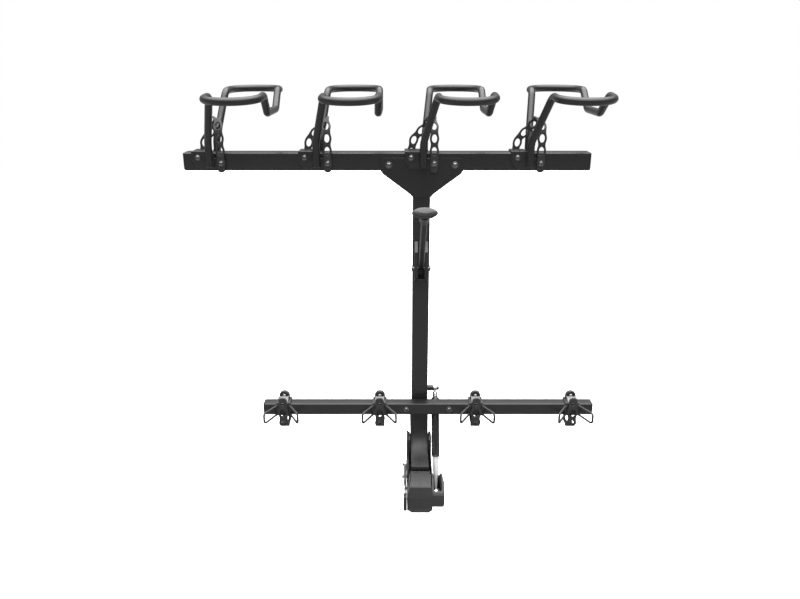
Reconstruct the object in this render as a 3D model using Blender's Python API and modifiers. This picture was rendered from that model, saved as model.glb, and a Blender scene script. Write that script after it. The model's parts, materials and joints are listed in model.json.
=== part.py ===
"""Hitch mounted rack that hangs four bicycles upright by the front wheel.

Lengths are in millimetres in the numbers below, measured from the stinger's centreline under
the middle of the mast: X across the vehicle, -Y away from the vehicle, Z up. place() turns
them into metres and puts the origin on the stinger's top face, straight above that point.
"""
import math

import bmesh
import bpy
from mathutils import Matrix, Vector

MM = 0.001
GAP = 0.3                     # running gap between neighbouring pieces

# Square tubes
TUBE = 50.8                   # mast, stinger and top crossbar
HALF = TUBE / 2
TUBE_WALL = 3.0
TUBE_EDGE = 3.5               # rounding of a tube's long edges

ORIGIN = Vector((0.0, 0.0, HALF))

# Top crossbar
TOP_Z = 1000.0
TOP_LEFT, TOP_RIGHT = -682.0, 482.0

# Lower crossbar, carried on the mast's front face
LOW_Z = 225.0
LOW_SIDE = 38.0
CARRIER = 3.4                 # plate between the mast and the bar
LOW_BACK = -HALF - CARRIER - 2 * GAP
LOW_Y = LOW_BACK - LOW_SIDE / 2
LOW_FRONT = LOW_BACK - LOW_SIDE
LOW_LEFT, LOW_RIGHT = -493.0, 545.0

# Cradles hang from the top bar at an even pitch, holders sit between them
CRADLE_PITCH = 305.3
CRADLE_FIRST = -641.5
HOLDER_FIRST = -432.5
HOLDER_PITCH = 305.0
COUNT = 4

# Tilting joint
PIVOT = Vector((0.0, -175.0, -10.0))
FOOT_HALF = 27.8              # half width of the foot post
FOOT_TOP = 205.0
ARM_IN, ARM_OUT = 30.4, 35.4  # hub plates, each side

# Damper
DAMPER_X = 51.8
DAMPER_TOP = Vector((DAMPER_X, 22.0, 257.5))
DAMPER_LOW = Vector((DAMPER_X, -145.0, -28.0))
DAMPER_R = 13.0
ROD_R = 9.0
BARREL_TOP, BARREL_END = 29.0, 222.0

# Handle
HANDLE_PIN = Vector((0.0, -42.0, 686.0))
HANDLE_ANGLE = 39.6           # lever above the horizontal at rest
HANDLE_REACH = 359.0

# Foot latch and its release
AXLE = Vector((0.0, -100.0, 0.0))
PEDAL_PIN = Vector((0.0, -130.0, -25.0))

# Stinger, with the cross hole for the vehicle's hitch pin
HITCH_PIN_Y = 215.0
STINGER_FRONT, STINGER_BACK = -200.0, 300.0

SMOOTH = math.radians(35)

for old in list(bpy.data.objects):
    bpy.data.objects.remove(old, do_unlink=True)

PARTS = bpy.data.collections.new("hitch_bike_rack")
TOOLS = bpy.data.collections.new("cutters")
bpy.context.scene.collection.children.link(PARTS)
bpy.context.scene.collection.children.link(TOOLS)

FINISHES = {                  # colour, roughness, metallic
    "black_steel": ((0.021, 0.022, 0.024), 0.42, 0.0),
    "black_plastic": ((0.030, 0.031, 0.033), 0.50, 0.0),
    "rubber": ((0.026, 0.027, 0.027), 0.70, 0.0),
    "dark_bolt": ((0.050, 0.050, 0.053), 0.35, 0.8),
    "zinc": ((0.62, 0.63, 0.64), 0.32, 1.0),
    "chrome": ((0.80, 0.80, 0.81), 0.12, 1.0),
    "grey_plastic": ((0.20, 0.20, 0.20), 0.55, 0.0),
}


def paint(obj, finish):
    """Give a node its own material."""
    colour, roughness, metallic = FINISHES[finish]
    material = bpy.data.materials.new(obj.name)
    material.use_nodes = True
    shader = material.node_tree.nodes["Principled BSDF"]
    shader.inputs["Base Color"].default_value = (*colour, 1.0)
    shader.inputs["Roughness"].default_value = roughness
    shader.inputs["Metallic"].default_value = metallic
    obj.data.materials.clear()
    obj.data.materials.append(material)


def pivot(name, at, parent=None):
    """Empty on a joint axis that carries the pieces of one moving body."""
    empty = bpy.data.objects.new(name, None)
    empty.location = (Vector(at) - ORIGIN) * MM
    PARTS.objects.link(empty)
    if parent is not None:
        empty.parent = parent
        empty.location = empty.location - spot_of(parent)
    return empty


def spot_of(empty):
    """World place of an empty, through the empties that carry it."""
    spot = empty.location.copy()
    if empty.parent is not None:
        spot += spot_of(empty.parent)
    return spot


def place(name, bm, cutter=False):
    """Turn a bmesh in millimetres into an object in metres."""
    bmesh.ops.recalc_face_normals(bm, faces=bm.faces)
    bmesh.ops.translate(bm, vec=-ORIGIN, verts=bm.verts)
    bmesh.ops.scale(bm, vec=(MM, MM, MM), verts=bm.verts)
    data = bpy.data.meshes.new(name)
    bm.to_mesh(data)
    bm.free()
    obj = bpy.data.objects.new(name, data)
    (TOOLS if cutter else PARTS).objects.link(obj)
    if cutter:
        obj.hide_render = True
        obj.display_type = "WIRE"
    return obj


def harvest(obj):
    """The bmesh of a curve or of an object with modifiers, which is then removed."""
    TOOLS.objects.link(obj)
    graph = bpy.context.evaluated_depsgraph_get()
    data = bpy.data.meshes.new_from_object(obj.evaluated_get(graph))
    bpy.data.objects.remove(obj, do_unlink=True)
    bm = bmesh.new()
    bm.from_mesh(data)
    bpy.data.meshes.remove(data)
    bmesh.ops.remove_doubles(bm, verts=bm.verts, dist=1e-4)
    return bm


def shade(obj, angle=SMOOTH):
    """Smooth the round faces and keep the hard edges sharp."""
    obj.data.shade_smooth()
    obj.data.set_sharp_from_angle(angle=angle)
    return obj


def bevel(bm, edges, width):
    """Round the given edges."""
    steps = 2 if width > 2 else 1
    bmesh.ops.bevel(bm, geom=list(edges), offset=width, segments=steps, profile=0.5,
                    affect="EDGES", clamp_overlap=True)


PLANES = {                    # how an outline's two numbers and its depth lie in X, Y, Z
    "xy": Matrix(((1, 0, 0, 0), (0, 1, 0, 0), (0, 0, 1, 0), (0, 0, 0, 1))),
    "xz": Matrix(((1, 0, 0, 0), (0, 0, 1, 0), (0, 1, 0, 0), (0, 0, 0, 1))),
    "yz": Matrix(((0, 0, 1, 0), (1, 0, 0, 0), (0, 1, 0, 0), (0, 0, 0, 1))),
}


def prism(name, outline, plane, low, high, edge=0.0, where=None, cutter=False):
    """Closed outline extruded from low to high; edge rounds the picked edges."""
    line = bpy.data.curves.new(name, "CURVE")
    line.dimensions = "2D"
    line.fill_mode = "BOTH"
    line.extrude = (high - low) / 2
    spline = line.splines.new("POLY")
    spline.points.add(len(outline) - 1)
    for dot, (a, b) in zip(spline.points, outline):
        dot.co = (a, b, 0, 1)
    spline.use_cyclic_u = True
    bm = harvest(bpy.data.objects.new(name, line))
    bmesh.ops.dissolve_limit(bm, angle_limit=0.001, verts=bm.verts, edges=bm.edges)
    bmesh.ops.transform(bm, verts=bm.verts,
                        matrix=PLANES[plane] @ Matrix.Translation((0, 0, (low + high) / 2)))
    if edge:
        bevel(bm, [e for e in bm.edges if where is None or where(e)], edge)
    return place(name, bm, cutter)


def box(name, low, high, edge=0.0, cutter=False):
    """Axis aligned block between two corners."""
    low, high = Vector(low), Vector(high)
    bm = bmesh.new()
    bmesh.ops.create_cube(bm, size=1, matrix=Matrix.LocRotScale((low + high) / 2, None, high - low))
    if edge:
        bevel(bm, bm.edges, edge)
    return place(name, bm, cutter)


def upright(along):
    """Rotation that turns +Z into a direction."""
    return Vector((0, 0, 1)).rotation_difference(Vector(along).normalized()).to_matrix().to_4x4()


def rod(name, start, end, radius, sides=24, cutter=False):
    """Straight round bar between two points."""
    start, end = Vector(start), Vector(end)
    spot = Matrix.Translation((start + end) / 2) @ upright(end - start)
    bm = bmesh.new()
    bmesh.ops.create_cone(bm, cap_ends=True, segments=sides, radius1=radius, radius2=radius,
                          depth=(end - start).length, matrix=spot)
    return place(name, bm, cutter)


def turned(name, profile, start, along, sides=24):
    """Profile of (radius, height) pairs spun about the line through start."""
    data = bpy.data.meshes.new(name)
    links = [(k, k + 1) for k in range(len(profile) - 1)]
    data.from_pydata([(radius, 0, height) for radius, height in profile], links, [])
    obj = bpy.data.objects.new(name, data)
    screw = obj.modifiers.new("spin", "SCREW")
    screw.steps = screw.render_steps = sides
    screw.use_merge_vertices = True
    screw.merge_threshold = 0.0001
    bm = harvest(obj)
    bmesh.ops.transform(bm, verts=bm.verts, matrix=Matrix.Translation(start) @ upright(along))
    return place(name, bm)


def combine(obj, *others, how="UNION"):
    """Boolean with each other object in turn, applied at once; the others are used up."""
    for other in others:
        step = obj.modifiers.new("step", "BOOLEAN")
        step.operation = how
        step.solver = "EXACT"
        step.object = other
        graph = bpy.context.evaluated_depsgraph_get()
        merged = bpy.data.meshes.new_from_object(obj.evaluated_get(graph))
        obj.modifiers.remove(step)
        spent = obj.data
        obj.data = merged
        bpy.data.meshes.remove(spent)
        bpy.data.objects.remove(other, do_unlink=True)
    return obj


def cut(obj, *others):
    """Subtract cutters from an object."""
    return combine(obj, *others, how="DIFFERENCE")


def arc(centre, radius, start, end, steps):
    """Points of a circular arc, angles in degrees."""
    points = []
    for k in range(steps + 1):
        angle = math.radians(start + (end - start) * k / steps)
        points.append((centre[0] + radius * math.cos(angle), centre[1] + radius * math.sin(angle)))
    return points


def rounded_line(corners, steps=4):
    """Polyline whose inner corners (x, y, z, radius) are replaced by arcs."""
    points = [Vector(corners[0][:3])]
    for before, corner, after in zip(corners, corners[1:], corners[2:]):
        middle = Vector(corner[:3])
        back = (Vector(before[:3]) - middle).normalized()
        ahead = (Vector(after[:3]) - middle).normalized()
        half = back.angle(ahead) / 2
        reach = corner[3] / math.tan(half)
        centre = middle + (back + ahead).normalized() * (corner[3] / math.sin(half))
        first = middle + back * reach - centre
        last = middle + ahead * reach - centre
        swing = first.angle(last)
        for k in range(steps + 1):
            share = k / steps
            points.append(centre + (first * math.sin((1 - share) * swing)
                                    + last * math.sin(share * swing)) / math.sin(swing))
    points.append(Vector(corners[-1][:3]))
    return points


def tube(name, points, radius, sides=8):
    """Round bar that follows a polyline."""
    line = bpy.data.curves.new(name, "CURVE")
    line.dimensions = "3D"
    line.bevel_depth = radius
    line.bevel_resolution = sides // 4
    line.use_fill_caps = True
    spline = line.splines.new("POLY")
    spline.points.add(len(points) - 1)
    for dot, point in zip(spline.points, points):
        dot.co = (*point, 1)
    return place(name, harvest(bpy.data.objects.new(name, line)))


def square_tube(name, centre, axis, start, end, side, wall=TUBE_WALL):
    """Square tube, open at both ends, with rounded long edges."""
    half = side / 2

    def section(h):
        a, b = centre
        return [(a - h, b - h), (a + h, b - h), (a + h, b + h), (a - h, b + h)]

    plane = {"x": "yz", "y": "xz", "z": "xy"}[axis]
    index = "xyz".index(axis)

    def long_edge(edge):
        one, two = edge.verts
        return abs(one.co[index] - two.co[index]) > 1.0

    outer = prism(name, section(half), plane, start, end, TUBE_EDGE, long_edge)
    inner = prism(name + "_bore", section(half - wall), plane, start - 9, end + 9, cutter=True)
    return cut(outer, inner)


def bolt(name, start, out, head_r, head_t, shank_r, shank):
    """Socket head bolt: the head stands out from start, the shank goes in."""
    floor, socket_r = head_t * 0.55, head_r * 0.42
    profile = [(0, floor), (socket_r, floor), (socket_r, head_t), (head_r * 0.82, head_t),
               (head_r, head_t * 0.75), (head_r, 0), (shank_r, 0), (shank_r, -shank), (0, -shank)]
    return turned(name, profile, Vector(start), Vector(out), sides=16)


# ------------------------------------------------------------------ moving bodies
mast = pivot("mast_axis", PIVOT)
handle = pivot("handle_axis", HANDLE_PIN, mast)
damper = pivot("damper_axis", DAMPER_TOP, mast)
latch = pivot("latch_axis", AXLE)
pedal = pivot("pedal_axis", PEDAL_PIN)


def ride(obj, finish, body=None):
    """Finish a piece and hang it on its body's empty, keeping its world place."""
    paint(obj, finish)
    shade(obj)
    if body is not None:
        obj.parent = body
        obj.location = -spot_of(body)
    return obj


# ------------------------------------------------------------------ top crossbar and mast
top_bar = square_tube("top_crossbar", (0, TOP_Z), "x", TOP_LEFT, TOP_RIGHT, TUBE)
ride(top_bar, "black_steel", mast)


def end_cap(name, centre, x_end, outwards, side):
    """Plastic plug: a plate over the tube's end and a hollow stub inside it."""
    half = side / 2
    y, z = centre
    face = box(name, (min(x_end, x_end + outwards * 4), y - half + 0.4, z - half + 0.4),
               (max(x_end, x_end + outwards * 4), y + half - 0.4, z + half - 0.4), 1.4)
    inner = half - TUBE_WALL - GAP
    near, far = x_end + outwards * 2, x_end - outwards * 22
    stub = box(name + "_stub", (min(near, far), y - inner, z - inner),
               (max(near, far), y + inner, z + inner))
    combine(face, stub)
    room = box(name + "_room", (min(x_end, far - outwards), y - inner + 3, z - inner + 3),
               (max(x_end, far - outwards), y + inner - 3, z + inner - 3), cutter=True)
    return cut(face, room)


for name, x_end, outwards in (("top_cap_left", TOP_LEFT - GAP, -1),
                              ("top_cap_right", TOP_RIGHT + GAP, 1)):
    ride(end_cap(name, (0, TOP_Z), x_end, outwards, TUBE), "black_plastic", mast)

MAST_TOP = TOP_Z - HALF - GAP
MAST_LOW = 70.0
mast_tube = square_tube("mast_tube", (0, 0), "z", MAST_LOW, MAST_TOP, TUBE)
ride(mast_tube, "black_steel", mast)

# The foot: a post round the mast that sweeps forward into a flat toe.
# The underside is open so that the base can reach inside it.
SWEEP = 75.0
TOE_Y, TOE_TOP, TOE_LOW = -143.0, 64.0, 52.0
FOOT_LOW = 30.0
SKIN = 2.1


def foot_side(inset):
    """Side outline of the foot, moved inwards by inset."""
    past = 20 if inset else 0     # the room inside runs out through both open ends
    top, low = FOOT_TOP + past, FOOT_LOW - past
    sweep = arc((-FOOT_HALF - SWEEP, TOE_TOP + SWEEP), SWEEP + inset, 0, -90, 10)
    toe = TOE_Y + inset
    chin = TOE_LOW + inset * 0.4
    return ([(FOOT_HALF - inset, low), (FOOT_HALF - inset, top), (inset - FOOT_HALF, top)] + sweep
            + [(toe, TOE_TOP - inset), (toe, chin), (toe + chin - low, low)])


def side_edge(edge):
    """True for an outline edge, which lies flat in one side face."""
    one, two = edge.verts
    return abs(one.co.x - two.co.x) < 0.01


foot = prism("mast_foot", foot_side(0), "yz", -FOOT_HALF, FOOT_HALF, 1.6, side_edge)
cut(foot, prism("foot_room", foot_side(SKIN), "yz", -FOOT_HALF + SKIN, FOOT_HALF - SKIN,
                cutter=True),
    box("pawl_window", (-6, -136, 15), (6, -108, 47), cutter=True))
ride(foot, "black_steel", mast)

# Hub plates carry the foot on the pivot bolt
HUB_R = 22.0
hub = (arc(PIVOT.yz, HUB_R, 290, 92, 11)
       + [(-142, 36), (-64, 36), (-57, 108), (-49, 117), (2, 106), (14, 95), (24, 40), (14, 24),
          (-96, 9), (-142, -10)])
for name, side in (("hub_plate_left", -1), ("hub_plate_right", 1)):
    faces = sorted((side * ARM_IN, side * ARM_OUT))
    plate = prism(name, hub, "yz", *faces, 0.8, side_edge)
    pad_faces = sorted((side * (FOOT_HALF + GAP), side * (ARM_IN + 1)))
    pad = prism(name + "_pad", [(-60, 40), (-52, 110), (2, 99), (12, 90), (18, 40)], "yz", *pad_faces)
    combine(plate, pad)
    cut(plate, rod(name + "_hole", (side * 20, PIVOT.y, PIVOT.z), (side * 50, PIVOT.y, PIVOT.z),
                   6.4, cutter=True))
    ride(plate, "black_steel", mast)

keeper = rod("latch_keeper", (-FOOT_HALF + SKIN + 0.8, -80, 44),
             (FOOT_HALF - SKIN - 0.8, -80, 44), 4, sides=16)
ride(keeper, "zinc", mast)

# Gusset plates join the mast and the top bar, front and back
PLATE = 4.0
GUSSET_HALF, GUSSET_TOP, GUSSET_SIDE = 119.0, 1012.0, 975.0
GUSSET_FOOT, GUSSET_LOW = 30.0, 898.0
GUSSET_BOLT_X, GUSSET_BOLT_Z = 95.0, 991.0
CORNER = 12.0
gusset = []
for side in (1, -1):
    run = (arc((GUSSET_HALF - CORNER, GUSSET_TOP - CORNER), CORNER, 90, 0, 4)
           + [(GUSSET_HALF, GUSSET_SIDE), (GUSSET_HALF - 6, GUSSET_SIDE - 9),
              (GUSSET_FOOT + 4, GUSSET_LOW + 9), (GUSSET_FOOT - 4, GUSSET_LOW)])
    gusset += run if side == 1 else [(-x, z) for x, z in reversed(run)]

for name, side in (("gusset_front", -1), ("gusset_rear", 1)):
    faces = sorted((side * (HALF + GAP), side * (HALF + GAP + PLATE)))
    plate = prism(name, gusset, "xz", *faces)
    for x in (-GUSSET_BOLT_X, GUSSET_BOLT_X):
        cut(plate, rod(name + "_hole", (x, side * 10, GUSSET_BOLT_Z), (x, side * 50, GUSSET_BOLT_Z),
                       5.3, sides=16, cutter=True))
    ride(plate, "black_steel", mast)
for name, x in (("gusset_bolt_left", -GUSSET_BOLT_X), ("gusset_bolt_right", GUSSET_BOLT_X)):
    start = (x, -HALF - GAP - PLATE - GAP, GUSSET_BOLT_Z)
    screw = bolt(name, start, (0, -1, 0), 8.0, 7.0, 5.0, TUBE + 2 * PLATE + 14)
    cut(top_bar, rod(name + "_hole", (x, -50, GUSSET_BOLT_Z), (x, 50, GUSSET_BOLT_Z), 5.3,
                     sides=16, cutter=True))
    ride(screw, "dark_bolt", mast)

# ------------------------------------------------------------------ lower crossbar
low_bar = square_tube("lower_crossbar", (LOW_Y, LOW_Z), "x", LOW_LEFT, LOW_RIGHT, LOW_SIDE, 2.5)
low_holes = (-43.0, 93.0)
LOW_BOLT_Z = LOW_Z + 1
for x in low_holes:
    cut(low_bar, rod("low_hole", (x, -90, LOW_BOLT_Z), (x, 0, LOW_BOLT_Z), 4.3, sides=16,
                     cutter=True))
ride(low_bar, "black_steel", mast)
for name, x_end, outwards in (("lower_cap_left", LOW_LEFT - GAP, -1),
                              ("lower_cap_right", LOW_RIGHT + GAP, 1)):
    ride(end_cap(name, (LOW_Y, LOW_Z), x_end, outwards, LOW_SIDE), "black_plastic", mast)

# Carrier plate between the mast and the bar
carrier = box("lower_bar_bracket", (-62, -HALF - GAP - CARRIER, LOW_Z - 11),
              (112, -HALF - GAP, LOW_Z + 15), 0.8)
for x in low_holes:
    cut(carrier, rod("carrier_hole", (x, -60, LOW_BOLT_Z), (x, 0, LOW_BOLT_Z), 4.3, sides=16,
                     cutter=True))
ride(carrier, "black_steel", mast)
for name, x in zip(("lower_bolt_left", "lower_bolt_right"), low_holes):
    screw = bolt(name, (x, LOW_FRONT - GAP, LOW_BOLT_Z), (0, -1, 0), 6.5, 5.5, 4.0, LOW_SIDE + 12)
    ride(screw, "dark_bolt", mast)

# ------------------------------------------------------------------ handle
CHANNEL_HALF, CHANNEL_ROOM = 20.5, 10.25
CHANNEL_LOW, CHANNEL_HIGH = 644.0, 766.0
channel_back = -HALF - GAP
channel_side = [(channel_back, CHANNEL_LOW), (channel_back, CHANNEL_HIGH),
                (channel_back - 6, CHANNEL_HIGH), (channel_back - 34, CHANNEL_HIGH - 26),
                (channel_back - 34, CHANNEL_LOW + 16), (channel_back - 20, CHANNEL_LOW)]
channel = prism("handle_channel", channel_side, "yz", -CHANNEL_HALF, CHANNEL_HALF, 1.2, side_edge)
cut(channel, box("channel_room", (-CHANNEL_ROOM, -90, CHANNEL_LOW - 9),
                 (CHANNEL_ROOM, channel_back - 4, CHANNEL_HIGH + 9), cutter=True))
WEB_Z, WEB_THICK = CHANNEL_LOW + 8, 4.0
combine(channel, box("channel_web", (-CHANNEL_ROOM - 1, channel_back - 31, WEB_Z),
                     (CHANNEL_ROOM + 1, channel_back - 2, WEB_Z + WEB_THICK)))
cut(channel, rod("channel_hole", (-40, *HANDLE_PIN.yz), (40, *HANDLE_PIN.yz), 5.3, sides=16,
                 cutter=True))
ride(channel, "black_steel", mast)

pin_profile = [(0, 0), (7.5, 0), (8.5, 1.5), (8.5, 4.5), (5, 4.5), (5, 53.5), (8.5, 53.5),
               (8.5, 56.5), (7.5, 58), (0, 58)]
pin = turned("handle_pin", pin_profile, (-29, HANDLE_PIN.y, HANDLE_PIN.z), (1, 0, 0), 16)
ride(pin, "dark_bolt", mast)

reach = Vector((0, -math.cos(math.radians(HANDLE_ANGLE)), math.sin(math.radians(HANDLE_ANGLE))))
across = Vector((0, reach.z, -reach.y))


def on_lever(along, up):
    """Point of the lever's side outline, measured along and across it."""
    spot = HANDLE_PIN + reach * along + across * up
    return spot.y, spot.z


LEVER_HALF = 8.0
LEVER_END_R = 11.5
lever_side = ([on_lever(*spot) for spot in arc((0, 0), LEVER_END_R, 55, 305, 10)]
              + [on_lever(30, -9), on_lever(HANDLE_REACH - 10, -8), on_lever(HANDLE_REACH - 10, 8),
                 on_lever(30, 9)])
lever = prism("handle_lever", lever_side, "yz", -LEVER_HALF, LEVER_HALF, 2.0, side_edge)
cut(lever, rod("lever_hole", (-30, *HANDLE_PIN.yz), (30, *HANDLE_PIN.yz), 5.1, sides=16,
               cutter=True))
ride(lever, "black_steel", handle)

# Oval ribbed knob with a socket that takes the lever's end
KNOB_WIDE, KNOB_HIGH, KNOB_LONG, RIBS = 67.0, 28.0, 27.0, 3
knob_r = KNOB_HIGH / 2
knob_profile = [(0, 0), (knob_r - 4, 0)]
rib = (KNOB_LONG - 6) / RIBS
for k in range(RIBS):
    low = 1 + k * rib
    knob_profile += [(knob_r, low + 1), (knob_r, low + rib * 0.6), (knob_r - 1.6, low + rib * 0.75),
                     (knob_r - 1.6, low + rib * 0.95)]
knob_profile += [(knob_r - 3, KNOB_LONG - 4), (knob_r - 7, KNOB_LONG - 1), (0, KNOB_LONG)]
grip_mid = HANDLE_PIN + reach * HANDLE_REACH
grip = turned("handle_grip", knob_profile, grip_mid - reach * (KNOB_LONG / 2), reach, 20)
for vertex in grip.data.vertices:
    vertex.co.x *= KNOB_WIDE / KNOB_HIGH
neck = HANDLE_PIN + reach * (HANDLE_REACH - 44)
combine(grip, turned("grip_neck", [(0, 0), (11.5, 0), (13.5, 3), (13.5, 34), (0, 34)], neck, reach,
                     14))
slot_side = [on_lever(HANDLE_REACH - 60, -8.6), on_lever(HANDLE_REACH - 9.4, -8.6),
             on_lever(HANDLE_REACH - 9.4, 8.6), on_lever(HANDLE_REACH - 60, 8.6)]
cut(grip, prism("grip_slot", slot_side, "yz", -LEVER_HALF - 0.6, LEVER_HALF + 0.6, cutter=True))
ride(grip, "rubber", handle)

# ------------------------------------------------------------------ damper
down = (DAMPER_LOW - DAMPER_TOP).normalized()
length = (DAMPER_LOW - DAMPER_TOP).length
stud_profile = [(0, 0), (9, 0), (9, 20.5), (4, 20.5), (4, 32.4), (8, 32.4), (8, 39), (6.5, 40),
                (0, 40)]
stud = turned("damper_stud", stud_profile, (HALF + GAP, DAMPER_TOP.y, DAMPER_TOP.z), (1, 0, 0), 20)
ride(stud, "dark_bolt", mast)

BORE = ROD_R + 0.5
barrel_profile = [(0, 8), (5.2, 8), (5.2, 11), (8.5, 14), (8.5, BARREL_TOP - 2),
                  (DAMPER_R - 3.5, BARREL_TOP), (DAMPER_R - 1, BARREL_TOP + 2.5),
                  (DAMPER_R, BARREL_TOP + 6),
                  (DAMPER_R, BARREL_END - 2), (DAMPER_R - 2, BARREL_END), (BORE, BARREL_END),
                  (BORE, 60), (0, 60)]
barrel = turned("damper_cylinder", barrel_profile, DAMPER_TOP, down, 24)
combine(barrel, rod("barrel_eye", (DAMPER_X - 5.5, *DAMPER_TOP.yz),
                    (DAMPER_X + 5.5, *DAMPER_TOP.yz), 11))
cut(barrel, rod("eye_hole", (DAMPER_X - 9, *DAMPER_TOP.yz), (DAMPER_X + 9, *DAMPER_TOP.yz), 4.3,
                sides=16, cutter=True))
ride(barrel, "black_steel", damper)

TAPER = 46.0
SHAFT_START, SHAFT_NECK = 70.0, 5.0   # where the rod begins below the upper eye; its thin end
shaft_end = length - SHAFT_START - 7
shaft_profile = [(0, 0), (ROD_R, 0), (ROD_R, shaft_end - 13 - TAPER), (SHAFT_NECK, shaft_end - 17),
                 (SHAFT_NECK, shaft_end), (0, shaft_end)]
shaft = turned("damper_rod", shaft_profile, DAMPER_TOP + down * SHAFT_START, down, 24)
combine(shaft, rod("rod_eye", (DAMPER_X - 5, *DAMPER_LOW.yz), (DAMPER_X + 5, *DAMPER_LOW.yz), 9))
cut(shaft, rod("rod_hole", (DAMPER_X - 9, *DAMPER_LOW.yz), (DAMPER_X + 9, *DAMPER_LOW.yz), 4.3,
               sides=16, cutter=True))
rod_axis = pivot("rod_axis", DAMPER_TOP, damper)
ride(shaft, "chrome", rod_axis)
low_pin = turned("damper_lower_pin", [(0, 0), (6.5, 0), (6.5, 1.4), (4, 1.4), (4, 21.3), (0, 21.3)],
                 (DAMPER_X + 11.5, *DAMPER_LOW.yz), (-1, 0, 0), 16)
ride(low_pin, "dark_bolt", rod_axis)

# ------------------------------------------------------------------ base: stinger
stinger = square_tube("stinger_tube", (0, 0), "y", STINGER_FRONT, STINGER_BACK, TUBE, 4.8)
cut(stinger, rod("pivot_hole", (-40, PIVOT.y, PIVOT.z), (40, PIVOT.y, PIVOT.z), 6.3, cutter=True),
    rod("hitch_hole", (-40, HITCH_PIN_Y, 0), (40, HITCH_PIN_Y, 0), 8.2, cutter=True),
    rod("axle_hole", (-40, AXLE.y, AXLE.z), (40, AXLE.y, AXLE.z), 5.3, cutter=True),
    box("pawl_slot", (-6, -124, 10), (6, -82, 40), cutter=True))
# Threaded plate welded inside the tube, which the wedge's bolt pulls on
THREAD_Y, BOLT_R = 236.0, 6.0
combine(stinger, box("thread_plate", (-HALF + 3, THREAD_Y, -HALF + 3),
                     (HALF - 3, THREAD_Y + 8, HALF - 3)))
cut(stinger, rod("thread", (0, THREAD_Y - 5, 0), (0, THREAD_Y + 20, 0), BOLT_R + GAP, sides=16,
                 cutter=True))
# The vehicle end is cut on the slant so that the wedge climbs it
WEDGE_LEAN = math.radians(30)
slant = [(STINGER_BACK - 30, -40), (STINGER_BACK + 40, -40), (STINGER_BACK + 40, 40),
         (STINGER_BACK - 30 + 80 * math.tan(WEDGE_LEAN), 40)]
cut(stinger, prism("slant", slant, "yz", -40, 40, cutter=True))
ride(stinger, "black_steel")

wedge_low = STINGER_BACK - 30 + GAP / math.cos(WEDGE_LEAN)
wedge_side = [(wedge_low + (40 - HALF) * math.tan(WEDGE_LEAN), -HALF),
              (STINGER_BACK + 45, -HALF), (STINGER_BACK + 45, HALF),
              (wedge_low + (40 + HALF) * math.tan(WEDGE_LEAN), HALF)]
wedge = prism("hitch_wedge", wedge_side, "yz", -HALF, HALF, 2.0, side_edge)
cut(wedge, box("wedge_room", (-17, STINGER_BACK - 60, -11), (17, STINGER_BACK + 33, 11), cutter=True),
    box("wedge_slot", (-6.5, STINGER_BACK, -9), (6.5, STINGER_BACK + 60, 9), cutter=True))
wedge_axis = pivot("wedge_axis", (0, STINGER_BACK, 0))
ride(wedge, "black_steel", wedge_axis)
BOLT_HEAD_Y = STINGER_BACK + 45 + GAP
shank = BOLT_HEAD_Y - THREAD_Y + 4
wedge_bolt = turned("wedge_bolt", [(0, 9), (9, 9), (10, 7.5), (10, 0), (BOLT_R, 0), (BOLT_R, -shank),
                                   (0, -shank)], (0, BOLT_HEAD_Y, 0), (0, 1, 0), 16)
bolt_axis = pivot("wedge_bolt_axis", (0, BOLT_HEAD_Y, 0))
ride(wedge_bolt, "zinc", bolt_axis)

# ------------------------------------------------------------------ base: pivot bolt
pivot_bolt = turned("pivot_bolt", [(0, 5), (8, 5), (10, 3), (10, 0), (6, 0), (6, -77.5), (0, -77.5)],
                    (-ARM_OUT - GAP, PIVOT.y, PIVOT.z), (-1, 0, 0), 24)
ride(pivot_bolt, "dark_bolt")
pivot_nut = rod("pivot_nut", (ARM_OUT + GAP, *PIVOT.yz), (ARM_OUT + 6, *PIVOT.yz), 10, sides=6)
cut(pivot_nut, rod("nut_bore", (20, *PIVOT.yz), (60, *PIVOT.yz), 6.1, cutter=True))
ride(pivot_nut, "dark_bolt")
for name, side in (("pivot_bush_left", -1), ("pivot_bush_right", 1)):
    bush = rod(name, (side * (HALF + GAP), *PIVOT.yz), (side * (ARM_IN - GAP), *PIVOT.yz), 14)
    cut(bush, rod("bush_bore", (side * 20, *PIVOT.yz), (side * 40, *PIVOT.yz), 6.3, cutter=True))
    ride(bush, "grey_plastic")

# ------------------------------------------------------------------ base: plastic covers
NOSE_HALF = 30.0              # half width of the nose's raised panel
SKIRT = 41.0                  # outer face of the covers, left side
EAR_OUT = 38.3                # outer face of the right cover beside the damper
WALL = 2.6
NOSE_LOW = -65.0
SIDE_LOW = -45.0
SEAM = 0.3
cover_side = ([(-203, NOSE_LOW), (-216, -42), (-222, 0), (-218, 37), (-214, 41.5)]
              + [(-198, 45), (-181, 47.6), (-164, 49.3), (-148, 50), (-148, 60), (-64, 62),
                 (-58, 112), (-51, 122), (4, 110), (18, 98), (52, 40), (60, 20), (60, SIDE_LOW),
                 (-150, SIDE_LOW), (-158, NOSE_LOW)])
nose_room = [(-202, NOSE_LOW + WALL), (-213, -42), (-219, 0), (-215, 36), (-212, 38.7), (-198, 42),
             (-181, 44.6), (-164, 46.3), (-140, 47.4), (-140, SIDE_LOW + WALL), (-154, SIDE_LOW + WALL),
             (-161, NOSE_LOW + WALL)]
LOBE_BACK = -100.0
lobe_side = [(-204, -43), (-217, -32), (-220, -5), (-219, 9), (-215, 15), (-188, 39), (-178, 44),
             (-150, 44), (-142, 38), (LOBE_BACK, 4), (LOBE_BACK, -43)]
LOBE_OUT = 74.5
POCKET_IN, POCKET_OUT = 41.5, 67.5


def x_range(side, inner, outer):
    """Ordered X limits on one side of the centre plane."""
    return sorted((side * inner, side * outer))


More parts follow.
